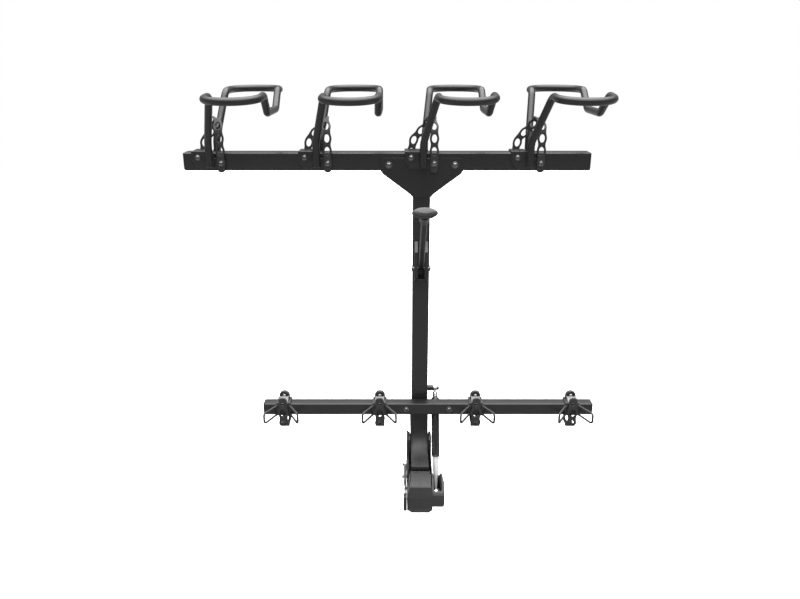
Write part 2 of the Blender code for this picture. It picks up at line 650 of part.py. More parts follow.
def make_cover(name, side):
    """Half of the base cover: nose, skirt and the ear beside the foot post."""
    skirt = SKIRT if side < 0 else EAR_OUT

    def outer_edge(edge):
        one, two = edge.verts
        return all(abs(abs(v.co.x) - skirt) < 0.01 for v in (one, two))

    cover = prism(name, cover_side, "yz", *x_range(side, SEAM / 2, skirt), 3.0, outer_edge)
    low, high = x_range(side, -5, NOSE_HALF - WALL)
    nose = prism("nose_room", nose_room, "yz", low, high, cutter=True)
    low, high = x_range(side, -5, ARM_OUT + 0.4)
    bay = box("bay", (low, -147, SIDE_LOW + WALL), (high, 57, 160), cutter=True)
    low, high = x_range(side, NOSE_HALF, ARM_OUT + 0.4)
    slot = box("slot", (low, -201, SIDE_LOW + WALL), (high, -140, 160), cutter=True)
    cut(cover, nose, bay, slot)
    room = HALF + 2.4
    stinger_way = box("stinger_way", (-room, 40, -room), (room, 90, room), cutter=True)
    low, high = x_range(side, -5, ARM_OUT + 0.4)
    brow = box("brow", (low, -151, 50.05), (high, -140, 90), cutter=True)
    web_hole = rod("web_hole", (side * 20, PIVOT.y, PIVOT.z), (side * 33, PIVOT.y, PIVOT.z), 15.2,
                   cutter=True)
    cut(cover, stinger_way, web_hole, brow)
    # Leaning flanks beside the nose and beside the toe, and the undercut below the skirt
    lean = prism("lean", [(side * 30.6, 66), (side * 30.6, 49), (side * 41.2, 2), (side * 60, 2),
                          (side * 60, 66)], "xz", -240, -147.5, cutter=True)
    toe = prism("toe_lean", [(side * 36.6, 64), (side * 41.2, 28), (side * 60, 28), (side * 60, 80),
                             (side * 36.6, 80)], "xz", -148, -66, cutter=True)
    under = prism("under", [(side * 28, -78), (side * 28, -66), (side * 31, -58), (side * 43, -48),
                            (side * 60, -48), (side * 60, -78)], "xz", -240, -140, cutter=True)
    return cut(cover, lean, toe, under)


left = make_cover("cover_left", -1)
cut(left, rod("bolt_way", (-60, PIVOT.y, PIVOT.z), (-34, PIVOT.y, PIVOT.z), 12, cutter=True),
    rod("axle_way", (-60, AXLE.y, AXLE.z), (-33, AXLE.y, AXLE.z), 6, cutter=True),
    rod("pedal_way", (-60, *PEDAL_PIN.yz), (-33, *PEDAL_PIN.yz), 4.3, cutter=True))
ride(left, "black_plastic")

right = make_cover("cover_right", 1)


def lobe_edge(edge):
    """Edges of the lobe's outer face."""
    return all(abs(v.co.x - LOBE_OUT) < 0.01 for v in edge.verts)


lobe = prism("lobe", lobe_side, "yz", ARM_OUT + 1.0, LOBE_OUT, 4.0, lobe_edge)
# The lobe narrows towards the vehicle
taper = prism("lobe_taper", [(LOBE_OUT + 9, -196), (LOBE_OUT - 2, -184), (68, -146), (66.5, -60),
                             (LOBE_OUT + 9, -60)], "xy", -60, 80, cutter=True)
cut(lobe, taper)
combine(right, lobe)
pocket = prism("pocket", [(POCKET_IN, -211), (POCKET_OUT - 4, -211), (POCKET_OUT, -206),
                          (POCKET_OUT - 1, -186), (POCKET_OUT - 3.5, -145),
                          (POCKET_OUT - 4.5, LOBE_BACK - 4), (POCKET_IN, LOBE_BACK - 4)], "xy",
               -40, 80, cutter=True)
bracket_way = box("bracket_way", (ARM_OUT - 1, -144, -41), (POCKET_IN + 3, -115, -30), cutter=True)
nut_way = rod("nut_way", (ARM_OUT - 1.4, PIVOT.y, PIVOT.z), (60, PIVOT.y, PIVOT.z), 12, cutter=True)
cut(right, pocket, bracket_way, nut_way)
ride(right, "black_plastic")

# Bracket from the stinger into the pocket; its holes give the damper's low pin play
LUG_R, PLAY = 11.0, 6.8
lug_z = DAMPER_LOW.z
bracket = box("damper_bracket", (HALF + GAP, -141, -39.6), (62.6, -118, -37.5))
tab = box("bracket_tab", (HALF + GAP, -141, -39.6), (HALF + GAP + 3.6, -118, -8))
combine(bracket, tab)
for near in (42.3, 57.6):
    lug = [(DAMPER_LOW.y - LUG_R, -39), (DAMPER_LOW.y + LUG_R, -39)]
    lug += arc((DAMPER_LOW.y, lug_z), LUG_R, 0, 180, 8)
    combine(bracket, prism("lug", lug, "yz", near, near + 4.0))
cut(bracket, rod("lug_hole", (38, DAMPER_LOW.y, lug_z), (70, DAMPER_LOW.y, lug_z), PLAY, cutter=True))
ride(bracket, "black_steel")

# ------------------------------------------------------------------ latch pawl and release
axle = turned("latch_axle", [(0, 0), (5, 0), (6, 1), (6, 5), (5, 5), (5, 79), (0, 79)],
              (-56.5, *AXLE.yz), (1, 0, 0), 20)
ride(axle, "dark_bolt", latch)
pawl_side = arc(AXLE.yz, 11, 200, 340, 6)
pawl_side += [(AXLE.y + 8, 14), (AXLE.y + 5, 51), (AXLE.y + 1, 54), (AXLE.y - 6, 50), (AXLE.y - 10, 12)]
pawl = prism("latch_pawl", pawl_side, "yz", -4, 4, 0.8, side_edge)
cut(pawl, rod("pawl_bore", (-9, AXLE.y, AXLE.z), (9, AXLE.y, AXLE.z), 5.1, cutter=True))
ride(pawl, "zinc", latch)
LEVER_IN, LEVER_OUT = -42.2, -51.0
strap_side = arc((AXLE.y, 46), 11, -10, 190, 8) + arc((AXLE.y, -24), 11, 190, 350, 8)
release = prism("release_lever", strap_side, "yz", LEVER_OUT, LEVER_IN, 1.0, side_edge)
cut(release, rod("release_bore", (-60, AXLE.y, AXLE.z), (-30, AXLE.y, AXLE.z), 5.1, cutter=True),
    rod("release_top", (-60, AXLE.y, 46), (-30, AXLE.y, 46), 3.3, sides=16, cutter=True))
ride(release, "zinc", latch)
release_profile = [(0, 0), (3, 0), (3, 9.5), (6, 9.5), (6, 13), (4.5, 14), (0, 14)]
release_bolt = turned("release_bolt", release_profile, (LEVER_IN + 0.5, AXLE.y, 46), (-1, 0, 0), 16)
ride(release_bolt, "dark_bolt", latch)

PAD_Y = -228.0
pedal_side = ([(PEDAL_PIN.y, PEDAL_PIN.z + 9)]
              + arc((PEDAL_PIN.y, PEDAL_PIN.z), 9, 75, -90, 6)
              + [(-190, -38), (PAD_Y + 6, -44), (PAD_Y, -40), (PAD_Y, 6), (PAD_Y + 5, 11),
                 (PAD_Y + 20, 11), (PAD_Y + 27, -4), (-190, -18)])
pedal_plate = prism("tilt_pedal", pedal_side, "yz", -46.8, LEVER_IN, 0.8, side_edge)
pad_side = [(PAD_Y, -40), (PAD_Y, 6), (PAD_Y + 5, 10.5), (PAD_Y + 20, 10.5), (PAD_Y + 22, -41)]
pad = prism("pad", pad_side, "yz", -52.5, -44, 1.5, side_edge)
combine(pedal_plate, pad)
for k in range(7):
    low = -37 + k * 6.4
    groove = box("groove", (-70, PAD_Y - 5, low), (-40, PAD_Y + 1.6, low + 2.4), cutter=True)
    cut(pedal_plate, groove)
cut(pedal_plate, rod("pedal_bore", (-60, *PEDAL_PIN.yz), (-30, *PEDAL_PIN.yz), 4.2, sides=16,
                     cutter=True))
ride(pedal_plate, "rubber", pedal)
stud_profile = [(0, 0), (7, 0), (7, 9.5), (4, 9.5), (4, 21.4), (6, 21.4), (6, 24), (0, 24)]
pedal_stud = turned("pedal_stud", stud_profile, (-HALF - GAP, *PEDAL_PIN.yz), (-1, 0, 0), 16)
ride(pedal_stud, "dark_bolt")

# ------------------------------------------------------------------ wheel cradles
CRADLE_TUBE_R = 10.5
CLAMP = 4.5
RIGHT_BOLT = Vector((65.5, 0, 996.0))
LEFT_BOLT_Z = 1012.0
BAR_FACE = HALF + GAP
BAR_TOP = TOP_Z + HALF + GAP

clamp_side = ([(-19, BAR_TOP + CLAMP), (-19, 1003), (-4, 980.5)] + [(56, 980.5)]
              + arc((RIGHT_BOLT.x, RIGHT_BOLT.z), 13.4, -100, 70, 7)
              + [(38, 1012), (25, BAR_TOP + CLAMP)])


def hoop_line(foot):
    """Bends of the wheel hoop; foot is how far out its arms stand on the clamp."""
    return [(34.5, -foot, 986), (34.5, -foot, 1055, 40), (70, -124, 1188, 35),
            (70, -241, 1181, 72), (217, -241, 1181, 72), (217, -135, 1190, 25),
            (213, -70, 1140, 25), (213, 70, 1140, 25), (212, 130, 1190, 25),
            (208, 236, 1191, 72), (61, 236, 1191, 72), (57, 126, 1188, 35),
            (40, foot, 1055, 40), (40, foot, 986)]


def shifted(points, x):
    """Outline moved sideways along its first number."""
    return [(a + x, *rest) for a, *rest in points]


def make_cradle(name, x, face):
    """Clamp over the top bar, face out from its middle, with the bent wheel hoop welded on."""
    outer = face + CLAMP
    front = prism(name, shifted(clamp_side, x), "xz", -outer, -face)
    rear = prism("rear", shifted(clamp_side, x), "xz", face, outer)
    roof = box("roof", (x - 19, 0.5 - outer, BAR_TOP), (x + 25, outer - 0.5, BAR_TOP + CLAMP))
    bends = rounded_line(shifted(hoop_line(outer + CRADLE_TUBE_R - 1.1), x), 3)
    combine(front, roof, rear, tube("hoop", bends, CRADLE_TUBE_R, 8))
    for across, z in ((0, LEFT_BOLT_Z), (RIGHT_BOLT.x, RIGHT_BOLT.z)):
        hole = rod("hole", (x + across, -60, z), (x + across, 60, z), 3.3, sides=12, cutter=True)
        cut(front, hole)
    return front


# ------------------------------------------------------------------ rubber ladder straps
def frame_line(points, hub):
    """Running lengths and directions along a strap; hub is the y, low z and high z it wraps."""
    places = []
    total = 0.0
    for k, point in enumerate(points):
        if k:
            total += (point - points[k - 1]).length
        ahead = points[min(k + 1, len(points) - 1)] - points[max(k - 1, 0)]
        ahead.normalize()
        out = Vector((0, point.y - hub[0], point.z - min(max(point.z, hub[1]), hub[2])))
        out -= ahead * out.dot(ahead)
        out.normalize()
        places.append((total, point, ahead, out))
    return places


def on_line(places, run):
    """Point, side direction and outward direction at a running length."""
    last = places[-1]
    if run >= last[0]:
        return last[1] + last[2] * (run - last[0]), last[2].cross(last[3]), last[3]
    for before, after in zip(places, places[1:]):
        if run <= after[0]:
            share = (run - before[0]) / (after[0] - before[0])
            point = before[1].lerp(after[1], share)
            ahead = before[2].lerp(after[2], share).normalized()
            out = before[3].lerp(after[3], share).normalized()
            if run < 0:
                point = before[1] + before[2] * run
            return point, ahead.cross(out), out
    return last[1], last[2].cross(last[3]), last[3]


def ladder(name, points, hub, thick, rungs):
    """Strap of oval holes bent along a line, its faces made by hand so that the cells follow it.

    Each rung is (length, half width at its neck, at its bulge, hole length, hole width).
    """
    places = frame_line(points, hub)
    bm = bmesh.new()

    def corner(run, side, layer):
        point, across, out = on_line(places, run)
        return bm.verts.new(point + across * side + out * (layer * thick / 2))

    run = 0.0
    for long, neck, bulge, hole, wide in rungs:
        half, middle = long / 2, run + long / 2
        one_side = [(half, 0), (half, neck), (0, bulge), (-half, neck)]
        rim = one_side + [(-a, -b) for a, b in one_side]
        rings = []
        for layer in (-1, 1):
            outside = [corner(middle + a, b, layer) for a, b in rim]
            inside = []
            for k in range(8):
                a, b = math.cos(math.pi / 4 * k), math.sin(math.pi / 4 * k)
                inside.append(corner(middle + hole / 2 * a, wide / 2 * b, layer))
            rings.append((outside, inside))
            for k in range(8):
                n = (k + 1) % 8
                bm.faces.new((outside[k], outside[n], inside[n], inside[k]))
        (out_low, in_low), (out_high, in_high) = rings
        for k in range(8):
            n = (k + 1) % 8
            bm.faces.new((in_low[k], in_low[n], in_high[n], in_high[k]))
            at_end = abs(rim[k][0]) == half and rim[k][0] == rim[n][0]
            if not at_end:
                bm.faces.new((out_low[k], out_low[n], out_high[n], out_high[k]))
        run += long
    # Rounded tips close both ends
    for end, sign, width in ((0.0, -1, rungs[0][1]), (run, 1, rungs[-1][1])):
        rows = [[corner(end, width * b, layer) for b in (-1, 0, 1)] for layer in (-1, 1)]
        tips = [[corner(end + sign * width * 0.75, width * b * 0.6, layer) for b in (-1, 0, 1)]
                for layer in (-1, 1)]
        for near, far in zip(rows, tips):
            for k in range(2):
                bm.faces.new((near[k], near[k + 1], far[k + 1], far[k]))
        for k in range(2):
            bm.faces.new((tips[0][k], tips[0][k + 1], tips[1][k + 1], tips[1][k]))
        for k in (0, 2):
            bm.faces.new((rows[0][k], tips[0][k], tips[1][k], rows[1][k]))
    bmesh.ops.remove_doubles(bm, verts=bm.verts, dist=0.02)
    return place(name, bm)


STRAP_THICK = 5.0
RUNG = 35.5


def front_line(face):
    """Front strap: up from the right bolt, over the top and down behind the bar."""
    y = face + CLAMP + GAP + STRAP_THICK / 2
    low = RIGHT_BOLT.z - RUNG / 2
    return [(RIGHT_BOLT.x, -y, low), (RIGHT_BOLT.x, -y, 1090, 22), (58, -3, 1130, 14),
            (46, y - 3, 1098, 20), (9, y, 1060, 30), (-13, y, 962)]


FRONT_RUNGS = ([(RUNG, 10.5, 12.5, 7.0, 7.0)] + [(RUNG, 10.5, 13.5, 23.0, 14.5)] * 9
               + [(20.0, 10.5, 12.0, 7.0, 7.0)])

low_hub = (LOW_Y, 191, 400)
LOOP_OUT = 12.0
loop_front = LOW_FRONT - LOOP_OUT
loop_back = LOW_BACK + LOOP_OUT
LOOP_TOP, LOOP_LOW = 262.0, 163.0
loop_path = [(0, loop_front, LOOP_TOP), (0, loop_front, LOOP_LOW, 28),
             (0, loop_back, LOOP_LOW, 28), (0, loop_back, LOOP_TOP)]
NECK = 13.0
LOOP_RUNGS = [(24.0, NECK, 15.0, 9.0, 9.0), (38.0, NECK, 17.0, 26.0, 21.0),
              (34.0, NECK, 15.5, 20.0, 13.0), (30.0, NECK, 14.5, 16.0, 12.0),
              (34.0, NECK, 15.5, 20.0, 13.0), (38.0, NECK, 16.0, 24.0, 17.0),
              (24.0, NECK, 14.0, 9.0, 9.0)]

# ------------------------------------------------------------------ rear wheel holders
WING_R = 3.6
HOLDER_TOP = LOW_Z + LOW_SIDE / 2 + GAP
HOLDER_WALL = 3.6


def make_holder(name, x):
    """Block astride the lower bar with an arched eye, a ribbed tongue and two wire wings."""
    top, front, back = HOLDER_TOP, LOW_FRONT - GAP, LOW_BACK + GAP
    body = box(name, (x - 22, front - HOLDER_WALL, top - 0.2), (x + 22, back + HOLDER_WALL, top + 5))
    lip_front = box("lip_front", (x - 22, front - HOLDER_WALL, LOW_Z - 19), (x + 22, front, top + 4))
    lip_back = box("lip_back", (x - 22, back, LOW_Z - 8), (x + 22, back + HOLDER_WALL, top + 4))
    arch = [(x - 17, top + 3)] + [(x + 17, top + 3)] + arc((x, top + 15.5), 16.5, 0, 180, 6)
    eye = prism("eye", arch, "xz", back - 14, back - 2)
    combine(body, lip_front, lip_back, eye)
    slope = [(back - 12, top + 2), (back - 12, top + 15), (front - 3, top + 9), (front - 7, top + 4),
             (front - 6, top + 1), (front - 3, top + 1)]
    tongue = prism("tongue", slope, "yz", x - 14, x + 14, 1.2, side_edge)
    combine(body, tongue)
    root, knee, tip = front - 2.7, front - 10, front - 58
    high = LOW_Z + 15
    for side in (-1, 1):
        wing = [(x + side * 17, root, high), (x + side * 24, knee, high, 8),
                (x + side * 52, tip, high, 9), (x + side * 52, tip, LOW_Z - 19, 9),
                (x + side * 24, knee, LOW_Z - 15, 8), (x + side * 17, root, LOW_Z - 15)]
        combine(body, tube("wing", rounded_line(wing, 1), WING_R, 4))
    eye_z = top + 18
    cut(body, rod("eye_bolt", (x, back - 30, eye_z), (x, back + 20, eye_z), 3.2, sides=12,
                  cutter=True))
    return body


for k in range(COUNT):
    x = CRADLE_FIRST + k * CRADLE_PITCH
    # The cradle over the gussets is a plate's thickness wider each way
    face = BAR_FACE + (PLATE + GAP if abs(x) < GUSSET_HALF else 0)
    ride(make_cradle(f"wheel_cradle_{k + 1}", x, face), "black_steel", mast)
    line = rounded_line(shifted(front_line(face), x), 4)
    ride(ladder(f"front_strap_{k + 1}", line, (0, 900, 1100), STRAP_THICK, FRONT_RUNGS), "rubber", mast)
    x = HOLDER_FIRST + k * HOLDER_PITCH
    ride(make_holder(f"wheel_holder_{k + 1}", x), "grey_plastic", mast)
    line = rounded_line(shifted(loop_path, x), 6)
    ride(ladder(f"rear_strap_{k + 1}", line, low_hub, STRAP_THICK, LOOP_RUNGS), "rubber", mast)
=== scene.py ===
"""Looks for the hitch mounted bike rack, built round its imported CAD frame.

Lengths are in millimetres in the frame's own axes: X across the vehicle, -Y away from the
vehicle (the camera's side), Z up. Places come from the boxes of the CAD nodes.
"""
import json
import math

import bmesh
import bpy
from mathutils import Matrix, Vector


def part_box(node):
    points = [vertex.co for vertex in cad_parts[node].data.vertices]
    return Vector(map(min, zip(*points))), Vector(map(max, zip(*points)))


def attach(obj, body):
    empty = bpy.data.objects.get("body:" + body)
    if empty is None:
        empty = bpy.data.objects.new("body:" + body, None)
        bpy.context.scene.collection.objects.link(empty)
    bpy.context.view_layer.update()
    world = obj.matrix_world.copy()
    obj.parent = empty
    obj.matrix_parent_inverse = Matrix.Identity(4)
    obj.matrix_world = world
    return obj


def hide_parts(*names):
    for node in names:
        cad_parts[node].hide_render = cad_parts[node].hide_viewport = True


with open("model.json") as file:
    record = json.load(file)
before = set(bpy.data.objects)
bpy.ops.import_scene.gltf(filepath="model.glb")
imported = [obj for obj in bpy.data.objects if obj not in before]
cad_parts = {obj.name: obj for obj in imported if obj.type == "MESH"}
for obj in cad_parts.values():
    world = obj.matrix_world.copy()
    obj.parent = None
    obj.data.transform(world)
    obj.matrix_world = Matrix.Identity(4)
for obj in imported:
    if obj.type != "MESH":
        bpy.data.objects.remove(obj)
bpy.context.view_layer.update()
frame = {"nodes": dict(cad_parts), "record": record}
NODES = frame["nodes"]
BODY = {}
for body, members in frame["record"]["behaviour"]["bodies"].items():
    for member in members:
        BODY[member] = body

MM = 0.001
GAP = 0.3
UP = Vector((0, 0, 1))


def span(node):
    """Lowest and highest corner of a CAD node, in millimetres."""
    low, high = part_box(node)
    return low / MM, high / MM


def middle(node):
    """Middle of a CAD node's box."""
    low, high = span(node)
    return (low + high) / 2


# ------------------------------------------------------------------ materials
class Nodes:
    """Short way to add shader nodes and join them."""

    def __init__(self, tree):
        self.tree = tree

    def add(self, kind, **inputs):
        node = self.tree.nodes.new(kind)
        for key, value in inputs.items():
            self.join(value, node.inputs[key.replace("_", " ")])
        return node

    def join(self, value, socket):
        if isinstance(value, bpy.types.NodeSocket):
            self.tree.links.new(value, socket)
        else:
            socket.default_value = value

    def maths(self, how, a, b=0.0, clamp=False):
        node = self.tree.nodes.new("ShaderNodeMath")
        node.operation = how
        node.use_clamp = clamp
        self.join(a, node.inputs[0])
        self.join(b, node.inputs[1])
        return node.outputs[0]

    def mix(self, share, a, b):
        node = self.tree.nodes.new("ShaderNodeMix")
        node.data_type = "RGBA"
        self.join(share, node.inputs["Factor"])
        self.join(a, node.inputs[6])
        self.join(b, node.inputs[7])
        return node.outputs[2]

    def noise(self, where, scale, detail=2.0, distortion=0.0):
        node = self.add("ShaderNodeTexNoise", Vector=where, Scale=scale, Detail=detail,
                        Distortion=distortion)
        return node.outputs["Fac"]

    def spread(self, value, low, high, out_low=0.0, out_high=1.0):
        node = self.tree.nodes.new("ShaderNodeMapRange")
        node.clamp = True
        for socket, number in zip(node.inputs, (value, low, high, out_low, out_high)):
            self.join(number, socket)
        return node.outputs[0]


def grey(value, warm=0.0):
    """Linear grey with a slight warm or cool cast."""
    return (value * (1 + warm), value, value * (1 - warm), 1.0)


def finish(name, dark, light, rough, metallic=0.0, grain=0.0, grain_scale=1500.0, worn=None,
           coat=0.0, brushed=0.0, warm=0.0):
    """Material whose colour drifts, whose roughness is uneven and whose surface has a fine grain."""
    material = bpy.data.materials.new(name)
    material.use_nodes = True
    tree = Nodes(material.node_tree)
    shader = material.node_tree.nodes["Principled BSDF"]
    place = tree.add("ShaderNodeTexCoord").outputs["Object"]
    cloud = tree.noise(place, 9.0, 5.0, 0.4)
    speck = tree.noise(place, 240.0, 3.0)
    drift = tree.maths("ADD", tree.spread(cloud, 0.3, 0.7, 0.0, 0.7), tree.spread(speck, 0.35, 0.7, 0.0, 0.3))
    colour = tree.mix(drift, grey(dark, warm), grey(light, warm))
    if worn is not None:
        # The rounded normal differs from the flat one only beside an edge
        soft = tree.add("ShaderNodeBevel", Radius=0.0016).outputs[0]
        flat = tree.add("ShaderNodeNewGeometry").outputs["Normal"]
        dot = tree.tree.nodes.new("ShaderNodeVectorMath")
        dot.operation = "DOT_PRODUCT"
        tree.join(soft, dot.inputs[0])
        tree.join(flat, dot.inputs[1])
        edge = tree.spread(dot.outputs["Value"], 0.995, 0.90)
        patchy = tree.maths("MULTIPLY", edge, tree.spread(tree.noise(place, 60.0, 4.0), 0.42, 0.62))
        colour = tree.mix(patchy, colour, grey(worn, warm))
    tree.join(colour, shader.inputs["Base Color"])
    uneven = tree.noise(place, 38.0, 4.0)
    tree.join(tree.spread(uneven, 0.3, 0.7, rough * 0.86, rough * 1.14), shader.inputs["Roughness"])
    shader.inputs["Metallic"].default_value = metallic
    shader.inputs["Coat Weight"].default_value = coat
    shader.inputs["Coat Roughness"].default_value = 0.12
    shader.inputs["Anisotropic"].default_value = brushed
    height = tree.noise(place, grain_scale, 2.0)
    bump = tree.add("ShaderNodeBump", Strength=grain, Distance=0.0004, Height=height)
    tree.join(bump.outputs[0], shader.inputs["Normal"])
    return material


LOOKS = {
    "black_steel": finish("black_steel", 0.0085, 0.0125, 0.33, grain=0.07, grain_scale=520.0, worn=0.026),
    "black_plastic": finish("black_plastic", 0.021, 0.029, 0.50, grain=0.30, grain_scale=1500.0, worn=0.040),
    "rubber": finish("rubber", 0.017, 0.026, 0.62, grain=0.22, grain_scale=900.0, warm=0.02),
    "dark_bolt": finish("dark_bolt", 0.13, 0.22, 0.24, 1.0, grain=0.05, grain_scale=800.0, brushed=0.3),
    "zinc": finish("zinc", 0.50, 0.64, 0.30, 1.0, grain=0.10, grain_scale=700.0, brushed=0.2, warm=0.01),
    # Chrome that is only half metal: its pale base colour, lit as plain paint, is a painted reflection that
    # makes the damper rod read bright
    "chrome": finish("chrome", 0.80, 0.88, 0.20, 0.5, grain=0.02, grain_scale=400.0),
    "grey_plastic": finish("grey_plastic", 0.17, 0.22, 0.52, grain=0.25, grain_scale=1400.0),
}
GLOSS_BLACK = finish("gloss_black", 0.010, 0.014, 0.22, grain=0.06, grain_scale=300.0, coat=0.5)
# Mast foot: the black steel's powder coat made rougher, with a lighter colour that is painted light from
# overhead on its sweep
FOOT_POWDER_PAINTED_LIGHT = finish("foot_powder_painted_light", 0.012, 0.018, 0.52, grain=0.07, grain_scale=520.0)
GRIP_RUBBER = finish("grip_rubber", 0.035, 0.050, 0.42, grain=0.25, grain_scale=1100.0)


# ------------------------------------------------------------------ mesh helpers
def piece(name, bm, look, node, replaces=(), material=None):
    """Turn a bmesh in millimetres into a finished object that moves with a CAD node's body."""
    bmesh.ops.remove_doubles(bm, verts=bm.verts, dist=0.001)
    bmesh.ops.recalc_face_normals(bm, faces=bm.faces)
    bmesh.ops.scale(bm, vec=(MM, MM, MM), verts=bm.verts)
    data = bpy.data.meshes.new(name)
    bm.to_mesh(data)
    bm.free()
    data.shade_smooth()
    data.set_sharp_from_angle(angle=math.radians(38))
    obj = bpy.data.objects.new(name, data)
    bpy.context.scene.collection.objects.link(obj)
    data.materials.append(material or LOOKS[look])
    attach(obj, BODY[node])
    if replaces:
        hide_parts(*replaces)
    return obj


def upright(along):
    """Rotation that turns +Z into a direction."""
    return UP.rotation_difference(Vector(along).normalized()).to_matrix().to_4x4()


def hexed(radius, angle):
    """Distance to a hexagon's side, radius being half its width across the flats."""
    return radius / math.cos((angle % (math.pi / 3)) - math.pi / 6)


def lathe(bm, rows, start, along, sides=48):
    """Rows of (radius, height) spun about a line; a third item of True makes the row a hexagon."""
    spot = Matrix.Translation(start) @ upright(along)
    rings = []
    for row in rows:
        radius, height = row[:2]
        if radius < 1e-6:
            rings.append([bm.verts.new(spot @ Vector((0, 0, height)))])
            continue
        ring = []
        for k in range(sides):
            angle = 2 * math.pi * k / sides
            reach = hexed(radius, angle) if len(row) > 2 else radius
            place = Vector((reach * math.cos(angle), reach * math.sin(angle), height))
            ring.append(bm.verts.new(spot @ place))
        rings.append(ring)
    for one, two in zip(rings, rings[1:]):
        for k in range(sides):
            n = (k + 1) % sides
            if len(one) == 1:
                bm.faces.new((one[0], two[n], two[k]))
            elif len(two) == 1:
                bm.faces.new((one[k], one[n], two[0]))
            else:
                bm.faces.new((one[k], one[n], two[n], two[k]))


def arc(centre, radius, start, end, steps):
    """Points of a circular arc, angles in degrees."""
    points = []
    for k in range(steps + 1):
        angle = math.radians(start + (end - start) * k / steps)
        points.append((centre[0] + radius * math.cos(angle), centre[1] + radius * math.sin(angle)))
    return points


def bend(corners, step=7.0):
    """Polyline whose inner corners (x, y, z, radius) are rounded, one point every step degrees."""
    points = [Vector(corners[0][:3])]
    for before, corner, after in zip(corners, corners[1:], corners[2:]):
        knee = Vector(corner[:3])
        back = (Vector(before[:3]) - knee).normalized()
        ahead = (Vector(after[:3]) - knee).normalized()
        half = back.angle(ahead) / 2
        centre = knee + (back + ahead).normalized() * (corner[3] / math.sin(half))
        first = knee + back * (corner[3] / math.tan(half)) - centre
        last = knee + ahead * (corner[3] / math.tan(half)) - centre
        swing = first.angle(last)
        steps = max(2, math.ceil(math.degrees(swing) / step))
        for k in range(steps + 1):
            share = k / steps
            points.append(centre + (first * math.sin((1 - share) * swing)
                                    + last * math.sin(share * swing)) / math.sin(swing))
    points.append(Vector(corners[-1][:3]))
    return points


def pipe(bm, points, radius, sides=24):
    """Round bar along a polyline, its ends closed and slightly rounded."""
    first, last = points[0], points[-1]
    lead = (points[1] - first).normalized()
    tail = (last - points[-2]).normalized()
    lip = radius * 0.18
    rows = [(first, radius - lip), (first + lead * lip, radius)]
    rows += [(point, radius) for point in points[1:-1]]
    rows += [(last - tail * lip, radius), (last, radius - lip)]
    side = lead.orthogonal().normalized()
    rings = []
    for k, (point, reach) in enumerate(rows):
        ahead = (rows[min(k + 1, len(rows) - 1)][0] - rows[max(k - 1, 0)][0]).normalized()
        side = (side - ahead * side.dot(ahead)).normalized()
        over = ahead.cross(side)
        ring = []
        for n in range(sides):
            angle = 2 * math.pi * n / sides
            ring.append(bm.verts.new(point + (side * math.cos(angle) + over * math.sin(angle)) * reach))
        rings.append(ring)
    for one, two in zip(rings, rings[1:]):
        for k in range(sides):
            n = (k + 1) % sides
            bm.faces.new((one[k], one[n], two[n], two[k]))
    bm.faces.new(rings[0])
    bm.faces.new(rings[-1])


AXES = {                      # outline's two numbers and its depth, as places in X, Y, Z
    "xy": lambda a, b, d: (a, b, d),
    "xz": lambda a, b, d: (a, d, b),
    "yz": lambda a, b, d: (d, a, b),
}


def slab(bm, outline, plane, low, high, edge=0.0, angle=30.0):
    """Closed outline extruded from low to high, its sharp edges rounded."""
    part = bmesh.new()
    spot = AXES[plane]
    near = [part.verts.new(spot(a, b, low)) for a, b in outline]
    far = [part.verts.new(spot(a, b, high)) for a, b in outline]
    part.faces.new(near)
    part.faces.new(far)
    for k in range(len(outline)):
        n = (k + 1) % len(outline)
        part.faces.new((near[k], near[n], far[n], far[k]))
    bmesh.ops.recalc_face_normals(part, faces=part.faces)
    if edge:
        sharp = [e for e in part.edges if e.calc_face_angle(0) > math.radians(angle)]
        bmesh.ops.bevel(part, geom=sharp, offset=edge, segments=3, profile=0.5, affect="EDGES",
                        clamp_overlap=True)
    add(bm, part)


def block(bm, low, high, edge=0.0):
    """Block between two corners with rounded edges."""
    outline = [(low[0], low[1]), (high[0], low[1]), (high[0], high[1]), (low[0], high[1])]
    slab(bm, outline, "xy", low[2], high[2], edge)


def add(bm, part):
    """Copy one bmesh into another and free it."""
    data = bpy.data.meshes.new("part")
    part.to_mesh(data)
    part.free()
    bm.from_mesh(data)
    bpy.data.meshes.remove(data)


def carve(bm, cutter):
    """Subtract one bmesh from another with an exact boolean."""
    objects = []
    for part in (bm, cutter):
        bmesh.ops.recalc_face_normals(part, faces=part.faces)
        data = bpy.data.meshes.new("carve")
        part.to_mesh(data)
        part.free()
        obj = bpy.data.objects.new("carve", data)
        bpy.context.scene.collection.objects.link(obj)
        objects.append(obj)
    step = objects[0].modifiers.new("cut", "BOOLEAN")
    step.operation = "DIFFERENCE"
    step.solver = "EXACT"
    step.object = objects[1]
    graph = bpy.context.evaluated_depsgraph_get()
    data = bpy.data.meshes.new_from_object(objects[0].evaluated_get(graph))
    result = bmesh.new()
    result.from_mesh(data)
    bpy.data.meshes.remove(data)
    for obj in objects:
        spent = obj.data
        bpy.data.objects.remove(obj, do_unlink=True)
        bpy.data.meshes.remove(spent)
    return result


def rounded_square(half, radius, steps=8):
    """Outline of a square with rounded corners about the origin."""
    inner = half - radius
    points = []
    for k, (a, b) in enumerate(((inner, inner), (-inner, inner), (-inner, -inner), (inner, -inner))):
        points += arc((a, b), radius, k * 90, k * 90 + 90, steps)
    return points


